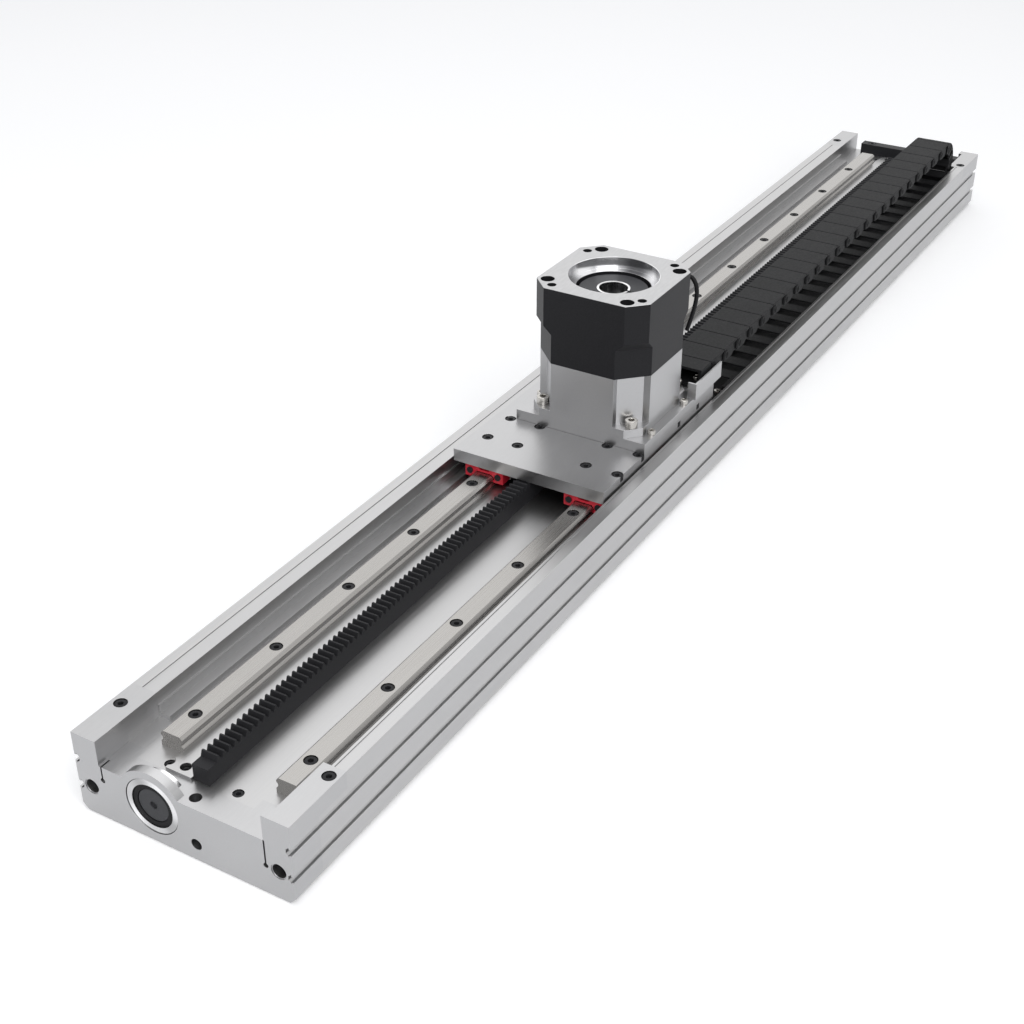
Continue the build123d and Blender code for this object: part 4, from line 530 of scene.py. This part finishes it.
DRESSED = {
    "base_profile": 0.00045, "front_end_block": 0.0004, "rear_end_block": 0.0004, "rear_plate": 0.0004,
    "left_rail": 0.0003, "right_rail": 0.0003, "rack": 0.00012, "carriage_plate": 0.0005,
    "gearbox_plate": 0.0005, "gearbox_housing": 0.0005, "gearbox_body": 0.00045, "input_hub": 0.0005,
    "clamp_bushing": 0.0003, "chain_tray": 0.0003, "chain_moving_end": 0.0004, "chain_fixed_end": 0.0004,
    "bore_seal": 0.0004, "bore_plug": 0.0004,
}
for corner in ("front_left", "front_right", "rear_left", "rear_right"):
    DRESSED["bearing_block_" + corner] = 0.0004
    DRESSED["end_caps_" + corner] = 0.0006


# Repeated pieces: one shape set on points by a node tree

def ring(radius, height, segments, shape=None):
    """A closed ring of points; shape turns an angle into a radius for a socket that isn't round."""
    points = []
    for number in range(segments):
        angle = 2 * math.pi * number / segments
        reach = shape(angle) * radius if shape else radius
        points.append((reach * math.cos(angle), reach * math.sin(angle), height))
    return points


def hexagon(angle):
    return 1.0 / math.cos((angle % (math.pi / 3)) - math.pi / 6)


def mesh_from_rings(name, rings):
    """Skin between rings of equal count, closed at both ends."""
    work = bmesh.new()
    rows = [[work.verts.new(point) for point in points] for points in rings]
    for low, high in zip(rows, rows[1:]):
        for number in range(len(low)):
            follow = (number + 1) % len(low)
            work.faces.new((low[number], low[follow], high[follow], high[number]))
    work.faces.new(list(reversed(rows[0])))
    work.faces.new(rows[-1])
    mesh = bpy.data.meshes.new(name)
    work.to_mesh(mesh)
    work.free()
    for face in mesh.polygons:
        face.use_smooth = True
    mesh.set_sharp_from_angle(angle=math.radians(30.0))
    return mesh


def cap_screw_mesh(name, head, height, shank, length, socket):
    """Socket cap screw: its seat is at the origin, the head goes up and the shank down."""
    edge = head * 0.10
    segments = 24
    return mesh_from_rings(name, [
        ring(shank, -length, segments), ring(shank, 0.0, segments), ring(head - edge * 0.4, 0.0, segments),
        ring(head, edge * 0.4, segments), ring(head, height - edge, segments),
        ring(head - edge * 0.4, height - edge * 0.3, segments), ring(head - edge * 1.3, height, segments),
        ring(socket * 1.12, height, segments), ring(socket * 0.98, height - edge * 0.5, segments, hexagon),
        ring(socket * 0.98, height - socket * 1.3, segments, hexagon),
        ring(socket * 0.3, height - socket * 1.5, segments)])


def placing_tree(shape, material):
    """Node tree: sets the shape on each point, turned by the point's turn attribute."""
    tree = bpy.data.node_groups.new("set_on_points", "GeometryNodeTree")
    tree.interface.new_socket("Points", in_out="INPUT", socket_type="NodeSocketGeometry")
    size = tree.interface.new_socket("Size", in_out="INPUT", socket_type="NodeSocketFloat")
    size.default_value = 1.0
    tree.interface.new_socket("Pieces", in_out="OUTPUT", socket_type="NodeSocketGeometry")
    nodes = tree.nodes
    links = tree.links
    start = nodes.new("NodeGroupInput")
    end = nodes.new("NodeGroupOutput")
    info = nodes.new("GeometryNodeObjectInfo")
    info.inputs["Object"].default_value = shape
    turn = nodes.new("GeometryNodeInputNamedAttribute")
    turn.data_type = "FLOAT_VECTOR"
    turn.inputs["Name"].default_value = "turn"
    spin = nodes.new("FunctionNodeEulerToRotation")
    instance = nodes.new("GeometryNodeInstanceOnPoints")
    real = nodes.new("GeometryNodeRealizeInstances")
    paint = nodes.new("GeometryNodeSetMaterial")
    paint.inputs["Material"].default_value = material
    links.new(start.outputs["Points"], instance.inputs["Points"])
    links.new(info.outputs["Geometry"], instance.inputs["Instance"])
    links.new(turn.outputs["Attribute"], spin.inputs["Euler"])
    links.new(spin.outputs["Rotation"], instance.inputs["Rotation"])
    links.new(start.outputs["Size"], instance.inputs["Scale"])
    links.new(instance.outputs["Instances"], real.inputs["Geometry"])
    links.new(real.outputs["Geometry"], paint.inputs["Geometry"])
    links.new(paint.outputs["Geometry"], end.inputs["Pieces"])
    return tree, size.identifier


def place_on(name, mesh, spots, turns, material):
    """One plain mesh with the shape set on every spot."""
    shape = new_piece(name + "_shape", mesh)
    points = bpy.data.meshes.new(name + "_points")
    points.from_pydata([tuple(spot) for spot in spots], [], [])
    turn = points.attributes.new("turn", "FLOAT_VECTOR", "POINT")
    for number, value in enumerate(turns):
        turn.data[number].vector = value
    carrier = new_piece(name + "_carrier", points)
    tree, size_input = placing_tree(shape, material)
    modifier = carrier.modifiers.new("set_on_points", "NODES")
    modifier.node_group = tree
    modifier[size_input] = 1.0
    bpy.context.view_layer.update()
    made = bpy.data.meshes.new_from_object(carrier.evaluated_get(bpy.context.evaluated_depsgraph_get()))
    bpy.data.objects.remove(carrier)
    bpy.data.objects.remove(shape)
    for extra in [a for a in made.attributes if a.name == "turn"]:
        made.attributes.remove(extra)
    return new_piece(name, made)


def solids_of(node):
    """Loose solids of a CAD node as boxes."""
    work = bmesh.new()
    work.from_mesh(NODES[node].data)
    bmesh.ops.remove_doubles(work, verts=work.verts, dist=SAME_POINT)
    work.verts.ensure_lookup_table()
    seen = set()
    boxes = []
    for vertex in work.verts:
        if vertex in seen:
            continue
        group = []
        stack = [vertex]
        seen.add(vertex)
        while stack:
            one = stack.pop()
            group.append(one.co.copy())
            for edge in one.link_edges:
                other = edge.other_vert(one)
                if other not in seen:
                    seen.add(other)
                    stack.append(other)
        low = Vector([min(co[i] for co in group) for i in range(3)])
        high = Vector([max(co[i] for co in group) for i in range(3)])
        boxes.append((low, high))
    work.free()
    return boxes


# Screw sizes: head radius, head height, shank radius, socket radius
M3 = (0.00275, 0.003, 0.0015, 0.00125)
M4 = (0.0035, 0.004, 0.002, 0.0015)
M5 = (0.00425, 0.005, 0.0025, 0.002)


def upright_screws(node):
    """Detailed screws on the spots of a node's upright screws; the size comes from each solid's width."""
    chance = random.Random(node)
    found = {}
    for low, high in solids_of(node):
        middle = (low + high) / 2
        wide = (high.x - low.x) / 2
        chosen = min((M3, M4, M5), key=lambda one: abs(one[0] - wide))
        found.setdefault(chosen, []).append((middle.x, middle.y, high.z - chosen[1], high.z - low.z))
    material = MATERIALS[SLOT_OF[node]]
    pieces = []
    for number, (chosen, spots) in enumerate(found.items()):
        head, height, shank, socket = chosen
        mesh = cap_screw_mesh(node, head, height, shank, spots[0][3] - height - 0.0002, socket)
        turns = [(0.0, 0.0, chance.uniform(0.0, math.pi / 3)) for spot in spots]
        name = node + "_detailed" + ("" if number == 0 else "_%d" % (number + 1))
        piece = place_on(name, mesh, [spot[:3] for spot in spots], turns, material)
        keep(piece, BODY_OF[node])
        pieces.append(piece)
    for piece in pieces:
        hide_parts(node)


# Cable chain

def rounded_outline(y_low, y_high, z_low, z_high, radius):
    points = []
    corners = ((y_high - radius, z_low + radius, -90), (y_high - radius, z_high - radius, 0),
               (y_low + radius, z_high - radius, 90), (y_low + radius, z_low + radius, 180))
    for centre_y, centre_z, first in corners:
        for step in range(5):
            angle = math.radians(first + 90.0 * step / 4)
            points.append((centre_y + radius * math.cos(angle), centre_z + radius * math.sin(angle)))
    return points


# Depths below the chain's flank of the side plates, the pivot's rim and its pin; lid and crossbar
OUTER_PLATE = (0.0004, 0.0015)
INNER_PLATE = (0.0016, 0.0027)
PIVOT_RIM = (0.0006, 0.0)
PIVOT_PIN = (0.0006, 0.0001)
LID_THICK = 0.0015
LID_SEAM = 0.0003
PLATE_LOW = 0.0002
PLATE_HIGH = 0.0016


def flank(side, depths):
    """Where a layer of the chain's flank starts and ends along X."""
    return sorted(side * (CHAIN_HALF_WIDTH - depth) for depth in depths)


def chain_link_mesh(name, lid_up):
    """One link from its near edge to its far edge: round-ended side plates that overlap the next link's,
    a closed lid on the outer side and one bar across on the inner side."""
    work = bmesh.new()
    half = CHAIN_HALF_WIDTH
    tall = CHAIN_LINK_HEIGHT
    pitch = CHAIN_PITCH
    eye = (tall - 0.0018) / 2
    low, high = (PLATE_LOW, tall - PLATE_HIGH) if lid_up else (PLATE_HIGH, tall - PLATE_LOW)
    middle = (low + high) / 2
    pivot = (eye + 0.0002, middle)
    for side in (-1, 1):
        plate_into(work, *flank(side, OUTER_PLATE),
                   rounded_outline(LID_SEAM, pitch * 0.80, low, high, eye * 0.9))
        plate_into(work, *flank(side, INNER_PLATE),
                   rounded_outline(pitch * 0.45, pitch * 1.30, low + 0.0004, high - 0.0004, eye * 0.8))
        ring_into(work, *flank(side, PIVOT_RIM), pivot, eye * 0.82, eye * 0.50)
        ring_into(work, *flank(side, PIVOT_PIN), pivot, eye * 0.30, eye * 0.12, 10)
    lid = (tall - LID_THICK, tall) if lid_up else (0.0, LID_THICK)
    bar = (0.0002, 0.0014) if lid_up else (tall - 0.0014, tall - 0.0002)
    box_into(work, (-half, LID_SEAM, lid[0]), (half, pitch - LID_SEAM, lid[1]))
    box_into(work, (-half + 0.0015, pitch * 0.16, bar[0]), (half - 0.0015, pitch * 0.68, bar[1]))
    mesh = bpy.data.meshes.new(name)
    work.to_mesh(mesh)
    work.free()
    return mesh


def sector(inner, outer, spread, steps=6):
    """Outline of a piece of a ring that lies round the Y axis."""
    angles = [math.radians(spread * (2 * n / steps - 1)) for n in range(steps + 1)]
    return ([(outer * math.cos(a), outer * math.sin(a)) for a in angles]
            + [(inner * math.cos(a), inner * math.sin(a)) for a in reversed(angles)])


def bend_link_mesh(name):
    """A third of the bend, centred on the bend's axis, with its lid outwards. The lid spans 58.6 of the
    third's 60 degrees, so an open slit of about 0.6 mm is left between two thirds."""
    work = bmesh.new()
    half = CHAIN_HALF_WIDTH
    inside = CHAIN_OUTER - CHAIN_LINK_HEIGHT
    reach = (inside + CHAIN_OUTER - PLATE_HIGH) / 2
    for side in (-1, 1):
        plate_into(work, *flank(side, OUTER_PLATE), sector(inside, CHAIN_OUTER - PLATE_HIGH, 24.0))
        plate_into(work, *flank(side, INNER_PLATE), sector(inside + 0.0006, CHAIN_OUTER - 0.0020, 29.6))
        ring_into(work, *flank(side, PIVOT_RIM), (reach, 0.0), 0.0034, 0.0021)
    plate_into(work, -half, half, sector(CHAIN_OUTER - LID_THICK, CHAIN_OUTER, 29.3))
    plate_into(work, -half + 0.0015, half - 0.0015, sector(inside, inside + 0.0012, 16.0))
    mesh = bpy.data.meshes.new(name)
    work.to_mesh(mesh)
    work.free()
    return mesh


def finish_chain(piece, node, body):
    bevel = piece.modifiers.new("moulded_edges", "BEVEL")
    bevel.width = 0.00028
    bevel.segments = 2
    bevel.limit_method = "ANGLE"
    bevel.angle_limit = math.radians(40.0)
    bevel.harden_normals = True
    bevel.use_clamp_overlap = True
    made = bpy.data.meshes.new_from_object(piece.evaluated_get(bpy.context.evaluated_depsgraph_get()))
    piece.modifiers.clear()
    piece.data = made
    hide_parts(node)
    if body:
        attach(piece, body)


def make_chain():
    material = MATERIALS["chain_plastic"]
    upper_low, upper_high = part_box("chain_upper_run")
    lower_low, lower_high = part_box("chain_lower_run")
    upper_links = round((upper_high.y - upper_low.y) / CHAIN_PITCH)
    lower_links = round((lower_high.y - lower_low.y) / CHAIN_PITCH)
    closed = chain_link_mesh("lid_up_link", True)
    opened = chain_link_mesh("lid_down_link", False)
    upper_z = CHAIN_HIGH + CHAIN_HEIGHT - CHAIN_LINK_HEIGHT
    spots = [(CHAIN_MIDDLE, upper_low.y + CHAIN_PITCH * n, upper_z) for n in range(upper_links)]
    upper = place_on("chain_upper_links", closed, spots, [(0, 0, 0)] * len(spots), material)
    finish_chain(upper, "chain_upper_run", None)
    spots = [(CHAIN_MIDDLE, lower_low.y + CHAIN_PITCH * n, CHAIN_LOW) for n in range(lower_links)]
    lower = place_on("chain_lower_links", opened, spots, [(0, 0, 0)] * len(spots), material)
    finish_chain(lower, "chain_lower_run", None)
    bend = place_on("chain_bend_links", bend_link_mesh("bend_link"),
                    [(CHAIN_MIDDLE, CHAIN_BEND_Y, CHAIN_LOW + CHAIN_OUTER)] * 3,
                    [(math.radians(turn), 0, 0) for turn in (-60, 0, 60)], material)
    finish_chain(bend, "chain_bend", "chain_bend_set")
    # Both runs stretch along with the carriage: where the bend starts they move half as far as it does.
    bend_y = CHAIN_BEND_Y
    fixed_y = lower_low.y
    moving_y = upper_low.y
    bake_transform(lower, "base", "carriage", start=(0, fixed_y, 0), end=(0, 2 * bend_y - fixed_y, 0))
    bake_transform(upper, "base", "carriage", start=(0, 2 * bend_y - moving_y, 0), end=(0, moving_y, 0))


# Lead behind the gearbox

def make_cable():
    """The lead behind the gearbox: it starts in the mouth of the chain's end, rises and comes down beside
    the gearbox body. Its far end belongs on the body but stops about 8 mm short of it."""
    curve = bpy.data.curves.new("signal_lead", "CURVE")
    curve.dimensions = "3D"
    curve.bevel_depth = CABLE_RADIUS
    curve.bevel_resolution = 5
    curve.use_fill_caps = True
    curve.resolution_u = 10
    spline = curve.splines.new("NURBS")
    spline.points.add(len(CABLE_ROUTE) - 1)
    for point, place in zip(spline.points, CABLE_ROUTE):
        point.co = (*(value / 1000 for value in place), 1.0)
    spline.order_u = 3
    spline.use_endpoint_u = True
    cable = new_piece("signal_lead", curve)
    give(cable, MATERIALS["cable_black"])
    keep(cable, "carriage")
    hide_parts("signal_cable")


# Floor

def make_floor():
    mesh = bpy.data.meshes.new("floor")
    reach = FLOOR_REACH
    mesh.from_pydata([(-reach, -reach, 0), (reach, -reach, 0), (reach, reach, 0), (-reach, reach, 0)], [],
                     [(0, 1, 2, 3)])
    floor = new_piece("floor", mesh)
    surface = Surface("floor_white")
    cloud = surface.noise((1, 1, 1), 1.5, 1.0)
    surface.set("Base Color", surface.blend(cloud, (0.945, 0.945, 0.945), (0.96, 0.96, 0.96)))
    surface.set("Roughness", 0.9)
    surface.set("Specular IOR Level", 0.0)
    path = surface.nodes.new("ShaderNodeLightPath")
    seen = surface.math("MAXIMUM", path.outputs["Is Camera Ray"],
                        surface.math("MAXIMUM", path.outputs["Is Glossy Ray"],
                                     path.outputs["Is Transmission Ray"]))
    lift = surface.nodes.new("ShaderNodeEmission")
    surface.links.new(surface.math("MULTIPLY", seen, FLOOR_LIFT), lift.inputs["Strength"])
    both = surface.nodes.new("ShaderNodeAddShader")
    surface.links.new(surface.shader.outputs[0], both.inputs[0])
    surface.links.new(lift.outputs[0], both.inputs[1])
    surface.links.new(both.outputs[0], surface.nodes["Material Output"].inputs["Surface"])
    give(floor, surface.material)
    floor.location = (0, 0, -FLOOR_DROP)


bpy.context.scene.view_settings.view_transform = "Standard"
make_camera()
make_world()
soft_box("key_light", (1.5, -1.6, 2.1), (0.0, -0.1, 0.05), (2.7, 2.7), 60.0)
soft_box("top_light", (-0.4, 0.3, 2.4), (0.0, 0.0, 0.0), (3.2, 3.2), 26.0)
soft_box("left_light", (-2.2, -0.8, 1.2), (0.0, 0.0, 0.05), (2.2, 1.8), 4.0)
soft_box("far_light", (-1.1, 2.4, 1.5), (0.0, 0.0, 0.05), (2.6, 1.6), 5.0)
make_floor()

for node, piece in NODES.items():
    for slot in piece.material_slots:
        slot.material = MATERIALS[SLOT_OF[node]]
for slot in NODES["bore_ring"].material_slots:
    slot.material = BORE_RING_PAINTED_SHEEN

for node, width in DRESSED.items():
    dress(node, width)
for node in ("left_rail_screws", "right_rail_screws", "block_screws", "gearbox_plate_screws", "foot_screws",
             "end_block_screws", "rear_plate_screws", "tray_screws", "fixed_end_screws"):
    upright_screws(node)
make_chain()
make_cable()
